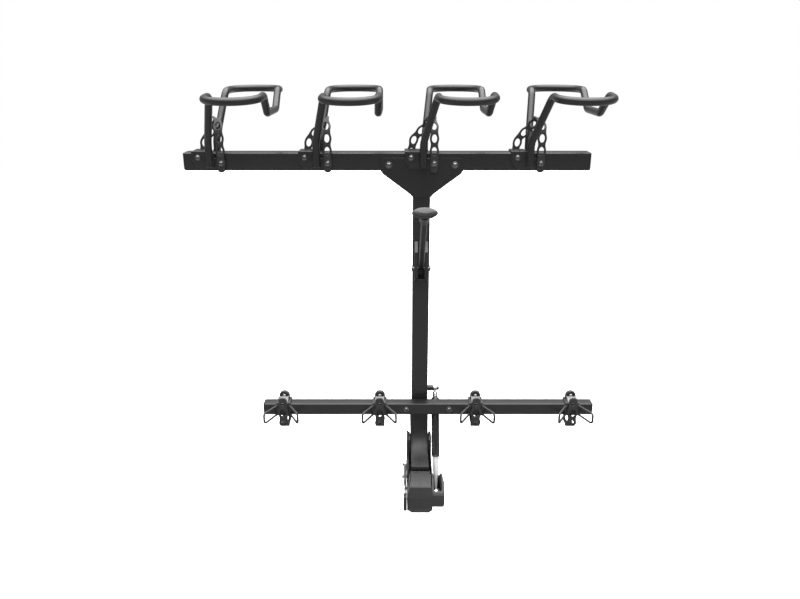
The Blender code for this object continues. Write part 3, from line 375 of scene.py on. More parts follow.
def square_tube(low, high, axis, wall, end_at=None):
    """Square tube with rounded corners, open at both ends, whose rims are slightly eased."""
    index = "xyz".index(axis)
    side = [k for k in range(3) if k != index]
    half = (high[side[0]] - low[side[0]]) / 2
    centre = (low + high) / 2
    start, end = low[index], high[index]
    ease = 0.5
    rows = [(half - ease, start, 0), (half, start + ease, 0), (half, end - ease, 1), (half - ease, end, 1),
            (half - wall, end, 1), (half - wall, start, 0)]
    bm = bmesh.new()
    rings = []
    for reach, along, at_end in rows:
        corner = 3.5 if reach > half - wall else max(3.5 - wall, 1.0)
        ring = []
        for a, b in rounded_square(reach, corner):
            spot = [0, 0, 0]
            spot[side[0]] = centre[side[0]] + a
            spot[side[1]] = centre[side[1]] + b
            spot[index] = along
            if end_at and at_end:
                spot[index] = min(along, end_at(spot) - (end - along))
            ring.append(bm.verts.new(spot))
        rings.append(ring)
    for one, two in zip(rings, rings[1:] + rings[:1]):
        for k in range(len(one)):
            n = (k + 1) % len(one)
            bm.faces.new((one[k], one[n], two[n], two[k]))
    return bm


def socket_head(bm, start, out, head_r, head_h, key):
    """Button head screw with a hexagon socket, standing out from start."""
    rows = [(0, head_h * 0.45), (key, head_h * 0.45, True), (key, head_h * 0.96, True),
            (key * 1.22, head_h)]
    rows += [(head_r * math.cos(a) ** 0.7, head_h * (0.35 + 0.65 * math.sin(a)))
             for a in (math.radians(d) for d in (62, 48, 34, 20, 8, 0))]
    rows += [(head_r, head_h * 0.06), (head_r - 0.4, 0), (0, 0)]
    lathe(bm, rows, start, out)


def washer(bm, start, out, radius, thick=1.4):
    """Flat washer standing out from start."""
    rows = [(0, 0), (radius - 0.3, 0), (radius, 0.3), (radius, thick - 0.3), (radius - 0.3, thick),
            (0, thick)]
    lathe(bm, rows, start, out)


def hex_nut(bm, start, out, flats, thick, bolt_r):
    """Hexagon nut with chamfered corners and the end of its bolt, standing out from start."""
    rows = [(0, 0), (flats * 0.96, 0), (flats, 0.8, True), (flats, thick - 0.9, True),
            (flats * 0.96, thick), (bolt_r * 1.1, thick), (bolt_r, thick - 0.3), (bolt_r, thick + 2),
            (bolt_r - 0.6, thick + 2.6), (0, thick + 2.6)]
    lathe(bm, rows, start, out)


# ------------------------------------------------------------------ CAD nodes that stay
KEPT = {
    "black_steel": ["gusset_front", "gusset_rear", "lower_bar_bracket", "hub_plate_left",
                    "hub_plate_right", "handle_channel", "handle_lever", "damper_bracket",
                    "hitch_wedge"],
    "black_plastic": ["top_cap_left", "top_cap_right", "lower_cap_left", "lower_cap_right",
                      "cover_left", "cover_right"],
    "grey_plastic": ["pivot_bush_left", "pivot_bush_right"],
    "rubber": ["tilt_pedal"],
    "zinc": ["latch_pawl", "release_lever"],
}
for look, names in KEPT.items():
    for name in names:
        obj = NODES[name]
        obj.data.materials.clear()
        obj.data.materials.append(LOOKS[look])
        weld = obj.modifiers.new("weld", "WELD")
        weld.merge_threshold = 0.00001
        plain = obj.modifiers.new("plain", "DECIMATE")
        plain.decimate_type = "DISSOLVE"
        plain.angle_limit = math.radians(1)
        ease = obj.modifiers.new("ease", "BEVEL")
        ease.limit_method = "ANGLE"
        ease.angle_limit = math.radians(38)
        ease.width = 0.0007
        ease.segments = 3
        even = obj.modifiers.new("even", "WEIGHTED_NORMAL")
        even.keep_sharp = True

# ------------------------------------------------------------------ square tubes
for name, axis, wall in (("top_crossbar", "x", 3.0), ("mast_tube", "z", 3.0), ("lower_crossbar", "x", 2.5)):
    piece(f"{name}_steel", square_tube(*span(name), axis, wall), "black_steel", name, [name])

low, high = span("stinger_tube")
WEDGE_LEAN = math.tan(math.radians(30))
stinger_mid = (low.z + high.z) / 2
slant_foot = high.y - 30      # where the slanted end would cross 40 mm below the centreline


def slanted(spot):
    """Y at which the stinger ends for a point's height."""
    return slant_foot + (spot[2] - stinger_mid + 40) * WEDGE_LEAN


stinger = square_tube(low, high, "y", 4.8, slanted)
HOLE_Y, HOLE_R = low.y + 415, 8.2      # hole for the vehicle's hitch pin
holes = [(middle("pivot_bolt"), 6.3), (middle("latch_axle"), 5.3),
         (Vector((0, HOLE_Y, stinger_mid)), HOLE_R)]
for spot, radius in holes:
    hole = bmesh.new()
    lathe(hole, [(0, -40), (radius, -40), (radius, 40), (0, 40)], (0, spot.y, spot.z), (1, 0, 0))
    stinger = carve(stinger, hole)
slot = bmesh.new()
axle_y = middle("latch_axle").y
block(slot, (-6, axle_y - 24, stinger_mid + 10), (6, axle_y + 18, stinger_mid + 40))
stinger = carve(stinger, slot)
piece("stinger_tube_steel", stinger, "black_steel", "stinger_tube", ["stinger_tube"])

# ------------------------------------------------------------------ mast foot
low, high = span("mast_foot")
FOOT_SKIN, SWEEP, TOE_RISE, CHIN_RISE = 2.1, 75.0, 34.0, 22.0


def foot_outline(inset):
    """Side outline of the foot post and its flat toe, moved inwards by inset."""
    past = 20 if inset else 0
    toe_top = low.z + TOE_RISE
    back, front = high.y - inset, -high.y + inset
    sweep = arc((-high.y - SWEEP, toe_top + SWEEP), SWEEP + inset, 0, -90, 32)
    toe, chin = low.y + inset, low.z + CHIN_RISE + inset * 0.4
    return ([(back, low.z - past), (back, high.z + past), (front, high.z + past)] + sweep
            + [(toe, toe_top - inset), (toe, chin), (toe + chin - low.z + past, low.z - past)])


foot = bmesh.new()
slab(foot, foot_outline(0), "yz", low.x, high.x, 1.6)
room = bmesh.new()
slab(room, foot_outline(FOOT_SKIN), "yz", low.x + FOOT_SKIN, high.x - FOOT_SKIN)
foot = carve(foot, room)
WINDOW_HALF, WINDOW_Y = 6, (-136, -108)      # opening through which the pawl reaches its keeper
window = bmesh.new()
block(window, (-WINDOW_HALF, WINDOW_Y[0], low.z - 15), (WINDOW_HALF, WINDOW_Y[1], low.z + 17))
foot = carve(foot, window)
# The foot uses the lighter copy of the black steel; its extra lightness is painted light
piece("mast_foot_steel", foot, "black_steel", "mast_foot", ["mast_foot"], FOOT_POWDER_PAINTED_LIGHT)

keeper_low, keeper_high = span("latch_keeper")
bm = bmesh.new()
keeper = middle("latch_keeper")
lathe(bm, [(0, 0), (3.6, 0), (4, 0.4), (4, keeper_high.x - keeper_low.x - 0.4),
           (3.6, keeper_high.x - keeper_low.x), (0, keeper_high.x - keeper_low.x)],
      (keeper_low.x, keeper.y, keeper.z), (1, 0, 0), 32)
piece("latch_keeper_pin", bm, "zinc", "latch_keeper", ["latch_keeper"])

# ------------------------------------------------------------------ structural bolts
for name, head_r, head_h, key in (("gusset_bolt_left", 8.0, 6.2, 3.2), ("gusset_bolt_right", 8.0, 6.2, 3.2),
                                  ("lower_bolt_left", 6.8, 5.2, 2.7), ("lower_bolt_right", 6.8, 5.2, 2.7)):
    low, high = span(name)
    x, z = (low.x + high.x) / 2, (low.z + high.z) / 2
    head = 7.0 if "gusset" in name else 5.5
    front = low.y + head
    bm = bmesh.new()
    washer(bm, (x, front, z), (0, -1, 0), head_r + 2.0, 1.2)
    socket_head(bm, (x, front - 1.0, z), (0, -1, 0), head_r, head_h, key)
    shank = head_r * 0.62
    lathe(bm, [(0, 0), (shank, 0), (shank, high.y - front - 1), (shank - 1, high.y - front),
               (0, high.y - front)], (x, front, z), (0, 1, 0), 32)
    if "gusset" in name:
        rear = span("gusset_rear")[1].y
        hex_nut(bm, (x, rear, z), (0, 1, 0), 8.0, min(7.5, high.y - rear - 3), shank)
    piece(f"{name}_head", bm, "dark_bolt", name, [name])

# ------------------------------------------------------------------ wheel cradles
bar_low, bar_high = span("top_crossbar")
BAR_Z = (bar_low.z + bar_high.z) / 2
BAR_HALF = (bar_high.z - bar_low.z) / 2
GUSSET_FACE = span("gusset_rear")[1].y + GAP
GUSSET_HALF = span("gusset_rear")[1].x
CLAMP, HOOP_R = 4.5, 10.5
RIGHT_X, RIGHT_Z, LEFT_Z = 65.5, -4.0, 12.0      # clamp bolts, from the cradle's left bolt and the bar
BAR_TOP = BAR_HALF + GAP


def shifted(points, x, z):
    """Outline or bends moved sideways by x and up by z, their heights being the last place given."""
    moved = []
    for point in points:
        if len(point) == 2:
            moved.append((point[0] + x, point[1] + z))
        else:
            moved.append((point[0] + x, point[1], point[2] + z, *point[3:]))
    return moved


clamp_side = ([(-19, BAR_TOP + CLAMP), (-19, 3), (-4, -19.5), (56, -19.5)]
              + arc((RIGHT_X, RIGHT_Z), 13.4, -100, 70, 16) + [(38, 12), (25, BAR_TOP + CLAMP)])


def hoop_bends(foot):
    """Bends of the wheel hoop; foot is how far out its arms stand on the clamp."""
    return [(34.5, -foot, -14), (34.5, -foot, 55, 40), (70, -124, 188, 35), (70, -241, 181, 72),
            (217, -241, 181, 72), (217, -135, 190, 25), (213, -70, 140, 25), (213, 70, 140, 25),
            (212, 130, 190, 25), (208, 236, 191, 72), (61, 236, 191, 72), (57, 126, 188, 35),
            (40, foot, 55, 40), (40, foot, -14)]


def weld_bead(bm, x, y, low_z, high_z):
    """Rippled vertical weld between the clamp and a hoop arm."""
    count = 14
    points = [Vector((x, y, low_z + (high_z - low_z) * k / count)) for k in range(count + 1)]
    for k, point in enumerate(points):
        size = 2.6 if k % 2 else 2.1
        rows = [(size * math.sin(math.pi * n / 6), -size * math.cos(math.pi * n / 6)) for n in range(7)]
        rows[0], rows[-1] = (0, -size), (0, size)
        lathe(bm, rows, point, UP, 12)


STRAP_THICK = 5.0
for number in range(1, 5):
    node = f"wheel_cradle_{number}"
    x = span(node)[0].x + 19
    face = GUSSET_FACE if abs(x) < GUSSET_HALF else BAR_HALF + GAP
    outer = face + CLAMP
    bm = bmesh.new()
    outline = shifted(clamp_side, x, BAR_Z)
    slab(bm, outline, "xz", -outer, -face, 1.1)
    slab(bm, outline, "xz", face, outer, 1.1)
    block(bm, (x - 18.6, 0.3 - outer, BAR_Z + BAR_TOP), (x + 24.6, outer - 0.3, BAR_Z + BAR_TOP + CLAMP), 1.4)
    arm = outer + HOOP_R - 1.1
    pipe(bm, bend(shifted(hoop_bends(arm), x, BAR_Z), 6.0), HOOP_R, 28)
    for side, arm_x in ((-1, 34.5), (1, 40.0)):
        for edge in (-8.6, 8.6):
            weld_bead(bm, x + arm_x + edge, side * (outer + 1.2), BAR_Z - 13, BAR_Z + 27)
    piece(f"{node}_steel", bm, "black_steel", node, [node])
    bm = bmesh.new()
    left = Vector((x, -outer, BAR_Z + LEFT_Z))
    right = Vector((x + RIGHT_X, -outer - GAP - STRAP_THICK, BAR_Z + RIGHT_Z))
    for spot in (left, right):
        washer(bm, spot, (0, -1, 0), 8.6, 1.2)
        socket_head(bm, spot - Vector((0, 1.0, 0)), (0, -1, 0), 7.2, 5.0, 2.7)
        hex_nut(bm, (spot.x, outer, spot.z), (0, 1, 0), 6.5, 6.0, 4.0)
    piece(f"{node}_bolts", bm, "dark_bolt", node)


# ------------------------------------------------------------------ rubber ladder straps
def along_line(points, hub):
    """Running length, place, direction and outward direction at each point of a strap's line."""
    rows, total = [], 0.0
    for k, point in enumerate(points):
        if k:
            total += (point - points[k - 1]).length
        ahead = (points[min(k + 1, len(points) - 1)] - points[max(k - 1, 0)]).normalized()
        out = Vector((0, point.y - hub[0], point.z - min(max(point.z, hub[1]), hub[2])))
        out = (out - ahead * out.dot(ahead)).normalized()
        rows.append((total, point, ahead, out))
    return rows


def on_line(rows, run):
    """Place, side direction and outward direction at a running length."""
    if run <= 0 or run >= rows[-1][0]:
        total, point, ahead, out = rows[0] if run <= 0 else rows[-1]
        return point + ahead * (run - total), ahead.cross(out), out
    for before, after in zip(rows, rows[1:]):
        if run <= after[0]:
            share = (run - before[0]) / (after[0] - before[0])
            ahead = before[2].lerp(after[2], share).normalized()
            out = before[3].lerp(after[3], share).normalized()
            return before[1].lerp(after[1], share), ahead.cross(out), out


LAYERS = ((-1.0, 1.0), (-0.72, 0.3), (0.0, 0.0), (0.72, 0.3), (1.0, 1.0))   # height, pull-in
CELL_SIDE, CELL_END = 10, 3   # steps along a cell's side, inner points across its end
EASE = 1.0                    # how far the faces stop short of the sides


def cell(rung):
    """Matching outer and hole outlines of one strap cell, as functions of the pull-in."""
    long, neck, bulge, hole, wide = rung

    def outer(inset):
        points = []
        for sign in (1, -1):
            for k in range(CELL_SIDE + 1):
                a = long / 2 * (1 - 2 * k / CELL_SIDE)
                b = neck + (bulge - neck) * math.cos(math.pi * a / long) ** 2 - inset
                points.append((a * sign, b * sign))
            for k in range(1, CELL_END + 1):
                points.append((-long / 2 * sign, (neck - inset) * (1 - 2 * k / (CELL_END + 1)) * sign))
        return points

    def inner(inset):
        points = []
        for a, b in outer(0):
            angle = math.atan2(b / bulge, a / (long / 2))
            points.append(((hole / 2 + inset) * math.cos(angle), (wide / 2 + inset) * math.sin(angle)))
        return points

    return outer, inner


def ladder(points, hub, thick, rungs):
    """Rubber strap of oval holes bent along a line, its sides and hole rims rounded."""
    rows = along_line(points, hub)
    bm = bmesh.new()

    def vertex(run, side, height):
        point, across, out = on_line(rows, run)
        return bm.verts.new(point + across * side + out * (height * thick / 2))

    run = 0.0
    for rung in rungs:
        outer, inner = cell(rung)
        centre = run + rung[0] / 2
        rims, holes = [], []
        for height, pull in LAYERS:
            rims.append([vertex(centre + a, b, height) for a, b in outer(pull * EASE)])
            holes.append([vertex(centre + a, b, height) for a, b in inner(pull * EASE)])
        count = len(rims[0])
        for k in range(count):
            n = (k + 1) % count
            for rim, hole_ring in ((rims[0], holes[0]), (rims[-1], holes[-1])):
                bm.faces.new((rim[k], rim[n], hole_ring[n], hole_ring[k]))
            on_side = k % (CELL_SIDE + 1 + CELL_END) < CELL_SIDE
            for layer in range(len(LAYERS) - 1):
                bm.faces.new((holes[layer][k], holes[layer][n], holes[layer + 1][n], holes[layer + 1][k]))
                if on_side:
                    bm.faces.new((rims[layer][k], rims[layer][n], rims[layer + 1][n], rims[layer + 1][k]))
        run += rung[0]
    for end, sign, neck in ((0.0, -1, rungs[0][1]), (run, 1, rungs[-1][1])):
        tips = []
        for height, pull in LAYERS:
            width = neck - pull * EASE
            line = [vertex(end, width * (1 - 2 * k / (CELL_END + 1)), height) for k in range(1, CELL_END + 1)]
            tip = [vertex(end + sign * (neck * 0.75 - pull * EASE) * math.cos(a), width * math.sin(a), height)
                   for a in (math.radians(90 - 15 * k) for k in range(13))]
            tips.append((line, tip))
        for line, tip in (tips[0], tips[-1]):
            bm.faces.new(tip + line[::-1])
        for (_, one), (_, two) in zip(tips, tips[1:]):
            for k in range(12):
                bm.faces.new((one[k], one[k + 1], two[k + 1], two[k]))
    bmesh.ops.remove_doubles(bm, verts=bm.verts, dist=0.02)
    return bm


RUNG = 35.5
FRONT_RUNGS = ([(RUNG, 10.5, 12.5, 7.0, 7.0)] + [(RUNG, 10.5, 13.5, 23.0, 14.5)] * 8
               + [(20.0, 10.5, 12.0, 7.0, 7.0)])
for number in range(1, 5):
    x = span(f"wheel_cradle_{number}")[0].x + 19
    face = GUSSET_FACE if abs(x) < GUSSET_HALF else BAR_HALF + GAP
    y = face + CLAMP + GAP + STRAP_THICK / 2
    corners = [(RIGHT_X, -y, RIGHT_Z - RUNG / 2), (RIGHT_X, -y, 90, 22), (58, -3, 130, 14),
               (46, y - 3, 98, 20), (9, y, 60, 30), (-13, y, -38)]
    line = bend(shifted(corners, x, BAR_Z), 5.0)
    node = f"front_strap_{number}"
    piece(f"{node}_rubber", ladder(line, (0, BAR_Z - 100, BAR_Z + 100), STRAP_THICK, FRONT_RUNGS), "rubber",
          node, [node])

low, high = span("lower_crossbar")
LOW_Y, LOW_Z = (low.y + high.y) / 2, (low.z + high.z) / 2
LOW_FRONT, LOW_BACK, LOW_TOP = low.y, high.y, high.z
LOOP_OUT, NECK = 12.0, 13.0
LOOP_RUNGS = [(24.0, NECK, 15.0, 9.0, 9.0), (38.0, NECK, 17.0, 26.0, 21.0),
              (34.0, NECK, 15.5, 20.0, 13.0), (30.0, NECK, 14.5, 16.0, 12.0),
              (34.0, NECK, 15.5, 20.0, 13.0), (38.0, NECK, 16.0, 24.0, 17.0),
              (24.0, NECK, 14.0, 9.0, 9.0)]
LOOP_TOP, LOOP_LOW = 37.0, -62.0

# ------------------------------------------------------------------ rear wheel holders
WING_R, HOLDER_WALL = 3.6, 3.6
for number in range(1, 5):
    node = f"wheel_holder_{number}"
    x = middle(node).x
    top, front, back = LOW_TOP + GAP, LOW_FRONT - GAP, LOW_BACK + GAP
    bm = bmesh.new()
    block(bm, (x - 22, front - HOLDER_WALL, top), (x + 22, back + HOLDER_WALL, top + 5), 1.4)
    block(bm, (x - 22, front - HOLDER_WALL, LOW_Z - 19), (x + 22, front, top + 4), 1.2)
    block(bm, (x - 22, back, LOW_Z - 8), (x + 22, back + HOLDER_WALL, top + 4), 1.2)
    eye_z = top + 15.5
    arch = bmesh.new()
    slab(arch, [(x - 16.5, top + 2), (x + 16.5, top + 2)] + arc((x, eye_z), 16.5, 0, 180, 24), "xz",
         back - 14, back - 2, 1.4)
    dish = bmesh.new()
    lathe(dish, [(0, 0), (11.5, 0), (12.5, 6), (0, 6)], (x, back - 11.2, eye_z + 1), (0, -1, 0))
    add(bm, carve(arch, dish))
    high_z, root, knee, tip = LOW_Z + 15, front - 2.7, front - 10, front - 58
    for side in (-1, 1):
        wing = [(x + side * 17, root, high_z), (x + side * 24, knee, high_z, 8),
                (x + side * 52, tip, high_z, 9), (x + side * 52, tip, LOW_Z - 19, 9),
                (x + side * 24, knee, LOW_Z - 15, 8), (x + side * 17, root, LOW_Z - 15)]
        pipe(bm, bend(wing, 12.0), WING_R - 0.2, 16)
    piece(f"{node}_body", bm, "black_plastic", node, [node])

    # Ribbed tongue that slopes forward over the bar
    start, end = (back - 14, top + 14.5), (front - 3, top + 8)
    ribs = 7
    ridge = []
    for k in range(ribs * 2 + 1):
        share = k / (ribs * 2)
        lift = 1.5 if k % 2 else 0.0
        ridge.append((start[0] + (end[0] - start[0]) * share, start[1] + (end[1] - start[1]) * share + lift))
    bm = bmesh.new()
    slab(bm, ridge + [(front - 7, top + 4), (front - 3, top + 1), (back - 14, top + 3)], "yz", x - 13.6,
         x + 13.6, 0.5)
    for side in (-1, 1):
        rim = [(start[0], start[1] + 2.6), (end[0], end[1] + 2.6), (front - 7, top + 5), (back - 14, top + 3)]
        slab(bm, rim, "yz", *sorted((x + side * 11.6, x + side * 14)), 0.6)
    piece(f"{node}_tongue", bm, "grey_plastic", node)

    bm = bmesh.new()
    socket_head(bm, (x, back - 11.2, eye_z + 1), (0, -1, 0), 5.6, 4.0, 2.0)
    piece(f"{node}_screw", bm, "zinc", node)

    loop = [(0, LOW_FRONT - LOOP_OUT, LOOP_TOP), (0, LOW_FRONT - LOOP_OUT, LOOP_LOW, 28),
            (0, LOW_BACK + LOOP_OUT, LOOP_LOW, 28), (0, LOW_BACK + LOOP_OUT, LOOP_TOP)]
    strap = f"rear_strap_{number}"
    line = bend(shifted(loop, x, LOW_Z), 5.0)
    piece(f"{strap}_rubber", ladder(line, (LOW_Y, LOW_Z - 34, LOW_Z + 175), STRAP_THICK, LOOP_RUNGS),
          "rubber", strap, [strap])

# ------------------------------------------------------------------ handle
PIN = middle("handle_pin")
HANDLE_ANGLE, HANDLE_REACH = math.radians(39.6), 359.0
reach = Vector((0, -math.cos(HANDLE_ANGLE), math.sin(HANDLE_ANGLE)))
KNOB_WIDE, KNOB_HIGH, KNOB_LONG, RIBS = 67.0, 28.0, 27.0, 3
COLLAR_BACK = 44      # how far short of the knob's middle its collar starts
knob_r = KNOB_HIGH / 2
rows = [(0, 0), (knob_r - 5, 0), (knob_r - 3, 0.5)]
for k in range(RIBS * 12 + 1):
    share = k / (RIBS * 12)
    crown = math.sin(math.pi * (0.16 + 0.68 * share)) ** 0.5
    ripple = abs(math.sin(math.pi * share * RIBS)) ** 0.6
    rows.append((knob_r * (0.80 * crown + 0.20 * crown * ripple), 0.8 + (KNOB_LONG - 2.2) * share))
rows += [(knob_r - 6, KNOB_LONG - 0.5), (knob_r - 8, KNOB_LONG), (0, KNOB_LONG)]
knob = bmesh.new()
knob_start = PIN + reach * (HANDLE_REACH - KNOB_LONG / 2)
lathe(knob, rows, knob_start, reach, 64)
for vertex in knob.verts:
    vertex.co.x *= KNOB_WIDE / KNOB_HIGH
collar = [(0, 0), (11.0, 0), (12.6, 0.8), (13.4, 3), (13.4, 8), (12.6, 9), (13.4, 10), (13.4, 30), (0, 30)]
lathe(knob, collar, PIN + reach * (HANDLE_REACH - COLLAR_BACK), reach)
piece("handle_grip_rubber", knob, "rubber", "handle_grip", ["handle_grip"], GRIP_RUBBER)

low, high = span("handle_pin")
bm = bmesh.new()
length = high.x - low.x
lathe(bm, [(0, 0), (6.8, 0), (8.0, 0.7), (8.5, 1.8), (8.5, 4.2), (8.2, 4.5), (5, 4.5), (5, length - 4.5),
           (8.2, length - 4.5), (8.5, length - 4.2), (8.5, length - 1.8), (8.0, length - 0.7),
           (6.8, length), (0, length)], (low.x, PIN.y, PIN.z), (1, 0, 0))
piece("handle_pin_steel", bm, "dark_bolt", "handle_pin", ["handle_pin"])

# ------------------------------------------------------------------ damper
stud_low = span("damper_stud")[0]
EYE = middle("damper_stud")
low_pin = middle("damper_lower_pin")
DAMPER_X = 51.8
top_eye = Vector((DAMPER_X, EYE.y, EYE.z))
low_eye = Vector((DAMPER_X, low_pin.y, low_pin.z))
down = (low_eye - top_eye).normalized()
length = (low_eye - top_eye).length
BARREL_TOP, BARREL_END, BARREL_R, ROD_R = 29.0, 222.0, 13.0, 9.0

bm = bmesh.new()
dome = [(BARREL_R * math.sin(math.radians(d)), BARREL_TOP + 7 - 7 * math.cos(math.radians(d)))
        for d in range(40, 91, 10)]
lathe(bm, [(0, BARREL_TOP), (7, BARREL_TOP)] + dome
      + [(BARREL_R, BARREL_END - 6), (BARREL_R - 0.6, BARREL_END - 5), (BARREL_R - 0.6, BARREL_END - 3.5),
         (BARREL_R, BARREL_END - 2.5), (BARREL_R - 0.4, BARREL_END - 0.8), (BARREL_R - 2.4, BARREL_END),
         (ROD_R + 0.5, BARREL_END), (ROD_R + 0.5, 80), (0, 80)], top_eye, down, 64)
piece("damper_cylinder_black", bm, "black_steel", "damper_cylinder", ["damper_cylinder"], GLOSS_BLACK)
bm = bmesh.new()
lathe(bm, [(4.4, -5.5), (10.4, -5.5), (11, -4.9), (11, 4.9), (10.4, 5.5), (4.4, 5.5), (4.4, -5.5)], top_eye,
      (1, 0, 0))
lathe(bm, [(0, 10), (5.2, 10), (5.2, 12), (8.2, 14), (8.5, 15), (8.5, 21), (7.6, 22), (7.6, 23), (8.5, 24),
           (8.5, BARREL_TOP), (0, BARREL_TOP)], top_eye, down)
piece("damper_upper_eye", bm, "zinc", "damper_cylinder")
bm = bmesh.new()
TAPER_START, NECK_START = length - 66, length - 24
lathe(bm, [(0, 90), (ROD_R, 90), (ROD_R, TAPER_START), (5.0, NECK_START), (5.0, length - 7), (0, length - 7)],
      top_eye, down, 64)
lathe(bm, [(4.3, -5), (8.5, -5), (9, -4.5), (9, 4.5), (8.5, 5), (4.3, 5), (4.3, -5)], low_eye, (1, 0, 0))
# The rod's bright look is partly a painted reflection, from the half-metal chrome
piece("damper_rod_chrome", bm, "chrome", "damper_rod", ["damper_rod"])

bm = bmesh.new()
lathe(bm, [(0, 0), (8.6, 0), (9, 0.4), (9, 20.1), (8.6, 20.5), (4, 20.5), (4, 32.4), (0, 32.4)],
      (stud_low.x, EYE.y, EYE.z), (1, 0, 0))
piece("damper_stud_spacer", bm, "black_steel", "damper_stud", ["damper_stud"])
bm = bmesh.new()
hex_nut(bm, (stud_low.x + 32.4, EYE.y, EYE.z), (1, 0, 0), 7.4, 5.0, 4.0)
piece("damper_stud_nut", bm, "dark_bolt", "damper_stud")
low, high = span("damper_lower_pin")
bm = bmesh.new()
lathe(bm, [(0, 0), (6.1, 0), (6.5, 0.4), (6.5, 1.2), (6.3, 1.4), (4, 1.4), (4, high.x - low.x - 0.6),
           (3.4, high.x - low.x), (0, high.x - low.x)], (high.x, low_pin.y, low_pin.z), (-1, 0, 0))
piece("damper_lower_pin_steel", bm, "dark_bolt", "damper_lower_pin", ["damper_lower_pin"])

# ------------------------------------------------------------------ pivot, latch and pedal fasteners
low, high = span("pivot_bolt")
spot = middle("pivot_bolt")
bm = bmesh.new()
head_face = low.x + 5
socket_head(bm, (head_face, spot.y, spot.z), (-1, 0, 0), 10, 5, 4)
lathe(bm, [(0, 0), (6, 0), (6, high.x - head_face - 1), (5, high.x - head_face), (0, high.x - head_face)],
      (head_face, spot.y, spot.z), (1, 0, 0), 32)
piece("pivot_bolt_steel", bm, "dark_bolt", "pivot_bolt", ["pivot_bolt"])
low, high = span("pivot_nut")
bm = bmesh.new()
lathe(bm, [(6.1, 0), (9.0, 0), (9.3, 0.8, True), (9.3, high.x - low.x - 0.8, True), (9.0, high.x - low.x),
           (6.1, high.x - low.x), (6.1, 0)], (low.x, spot.y, spot.z), (1, 0, 0))
piece("pivot_nut_steel", bm, "dark_bolt", "pivot_nut", ["pivot_nut"])

low, high = span("latch_axle")
spot = middle("latch_axle")
bm = bmesh.new()
lathe(bm, [(0, 0), (4.4, 0), (5, 0.6), (6, 1), (6, 5), (5, 5), (5, high.x - low.x - 0.8),
           (4.2, high.x - low.x), (0, high.x - low.x)], (low.x, spot.y, spot.z), (1, 0, 0))
piece("latch_axle_steel", bm, "dark_bolt", "latch_axle", ["latch_axle"])
low, high = span("release_bolt")
spot = middle("release_bolt")
bm = bmesh.new()
lathe(bm, [(0, 0), (3, 0), (3, high.x - low.x - 4.5), (0, high.x - low.x - 4.5)], (high.x, spot.y, spot.z),
      (-1, 0, 0), 32)
socket_head(bm, (low.x + 4.5, spot.y, spot.z), (-1, 0, 0), 6, 4.5, 2.2)
piece("release_bolt_steel", bm, "dark_bolt", "release_bolt", ["release_bolt"])
low, high = span("pedal_stud")
spot = middle("pedal_stud")
bm = bmesh.new()
lathe(bm, [(0, 0), (6.6, 0), (7, 0.4), (7, 9.5), (4, 9.5), (4, 21.4), (5.6, 21.4), (6, 21.8), (6, 23.4),
           (5.4, 24), (0, 24)], (high.x, spot.y, spot.z), (-1, 0, 0))
piece("pedal_stud_steel", bm, "dark_bolt", "pedal_stud", ["pedal_stud"])

# ------------------------------------------------------------------ wedge bolt
low, high = span("wedge_bolt")
bm = bmesh.new()
lathe(bm, [(0, 5), (4.4, 5, True), (4.4, 8.6, True), (5.4, 9), (8.6, 9), (9.4, 8.2), (10, 6.5), (10, 0.4),
           (9.6, 0), (6, 0), (6, low.y - high.y + 10), (5, low.y - high.y + 9), (0, low.y - high.y + 9)],
      (0, high.y - 9, stinger_mid), (0, 1, 0))
piece("wedge_bolt_steel", bm, "zinc", "wedge_bolt", ["wedge_bolt"])


# ------------------------------------------------------------------ floor, light and camera
def camera_sees(tree, seen_colour, light_colour):
    """One colour for the camera and another for the light that a surface gives to the rack."""
    is_camera = tree.add("ShaderNodeLightPath").outputs["Is Camera Ray"]
    return tree.mix(is_camera, light_colour, seen_colour)


FLOOR_Z = -0.46      # metres, well below the rack


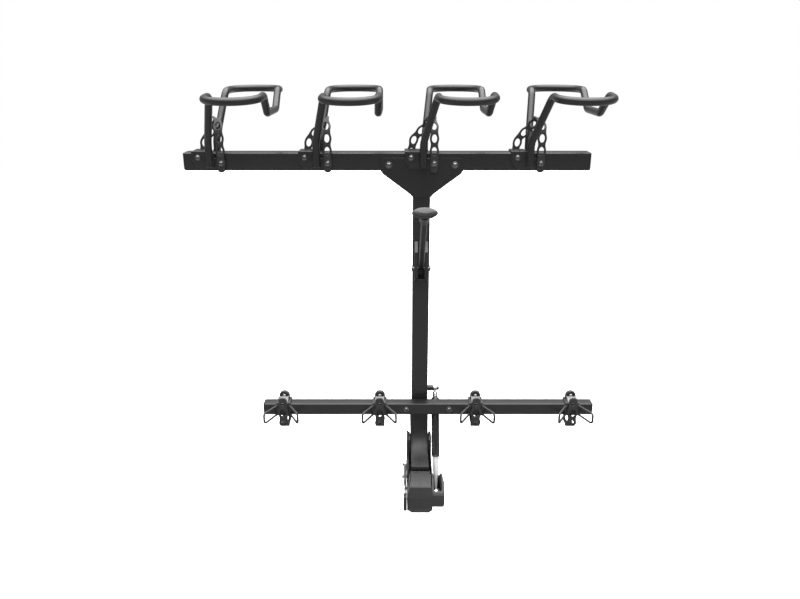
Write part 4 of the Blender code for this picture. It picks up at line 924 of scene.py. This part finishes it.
def make_floor():
    """Wide pale floor below the rack; it throws little light back up."""
    bm = bmesh.new()
    bmesh.ops.create_grid(bm, x_segments=2, y_segments=2, size=9)
    data = bpy.data.meshes.new("floor")
    bm.to_mesh(data)
    bm.free()
    floor = bpy.data.objects.new("floor", data)
    floor.location.z = FLOOR_Z
    bpy.context.scene.collection.objects.link(floor)
    material = bpy.data.materials.new("floor")
    material.use_nodes = True
    tree = Nodes(material.node_tree)
    shader = material.node_tree.nodes["Principled BSDF"]
    shader.inputs["Roughness"].default_value = 0.9
    tree.join(camera_sees(tree, grey(0.80), grey(0.14)), shader.inputs["Base Color"])
    shader.inputs["Emission Strength"].default_value = 1.0
    tree.join(camera_sees(tree, grey(0.30), grey(0.10)), shader.inputs["Emission Color"])
    data.materials.append(material)


HORIZON, OVERHEAD = 0.31, 5.6      # how bright the studio is level with the rack and above it


def make_world():
    """White studio with a wide bright ceiling and dimmer walls."""
    world = bpy.data.worlds.new("studio")
    world.use_nodes = True
    tree = Nodes(world.node_tree)
    background = world.node_tree.nodes["Background"]
    way = tree.add("ShaderNodeTexCoord").outputs["Generated"]
    parts = tree.add("ShaderNodeSeparateXYZ", Vector=way)
    glow = tree.spread(parts.outputs["Z"], 0.46, 0.86, HORIZON, OVERHEAD)
    tree.join(camera_sees(tree, grey(1.0), glow), background.inputs["Color"])
    bpy.context.scene.world = world


def make_light(name, place, aim, size, power):
    """Soft square light aimed at a point."""
    data = bpy.data.lights.new(name, "AREA")
    data.size = size
    data.energy = power
    light = bpy.data.objects.new(name, data)
    light.location = place
    light.rotation_euler = (Vector(place) - Vector(aim)).to_track_quat("Z", "Y").to_euler()
    bpy.context.scene.collection.objects.link(light)


make_floor()
make_world()
make_light("overhead", (0.1, 0.2, 3.2), (0.0, -0.1, 0.8), 2.2, 20)

camera_data = bpy.data.cameras.new("camera")
camera_data.lens = 32.085
camera_data.sensor_width = 36.0
camera = bpy.data.objects.new("camera", camera_data)
camera.location = (-0.0631, -2.091, 1.2786)
camera.rotation_euler = (math.radians(70.7), 0, 0)
bpy.context.scene.collection.objects.link(camera)
bpy.context.scene.camera = camera
bpy.context.scene.view_settings.view_transform = "Standard"
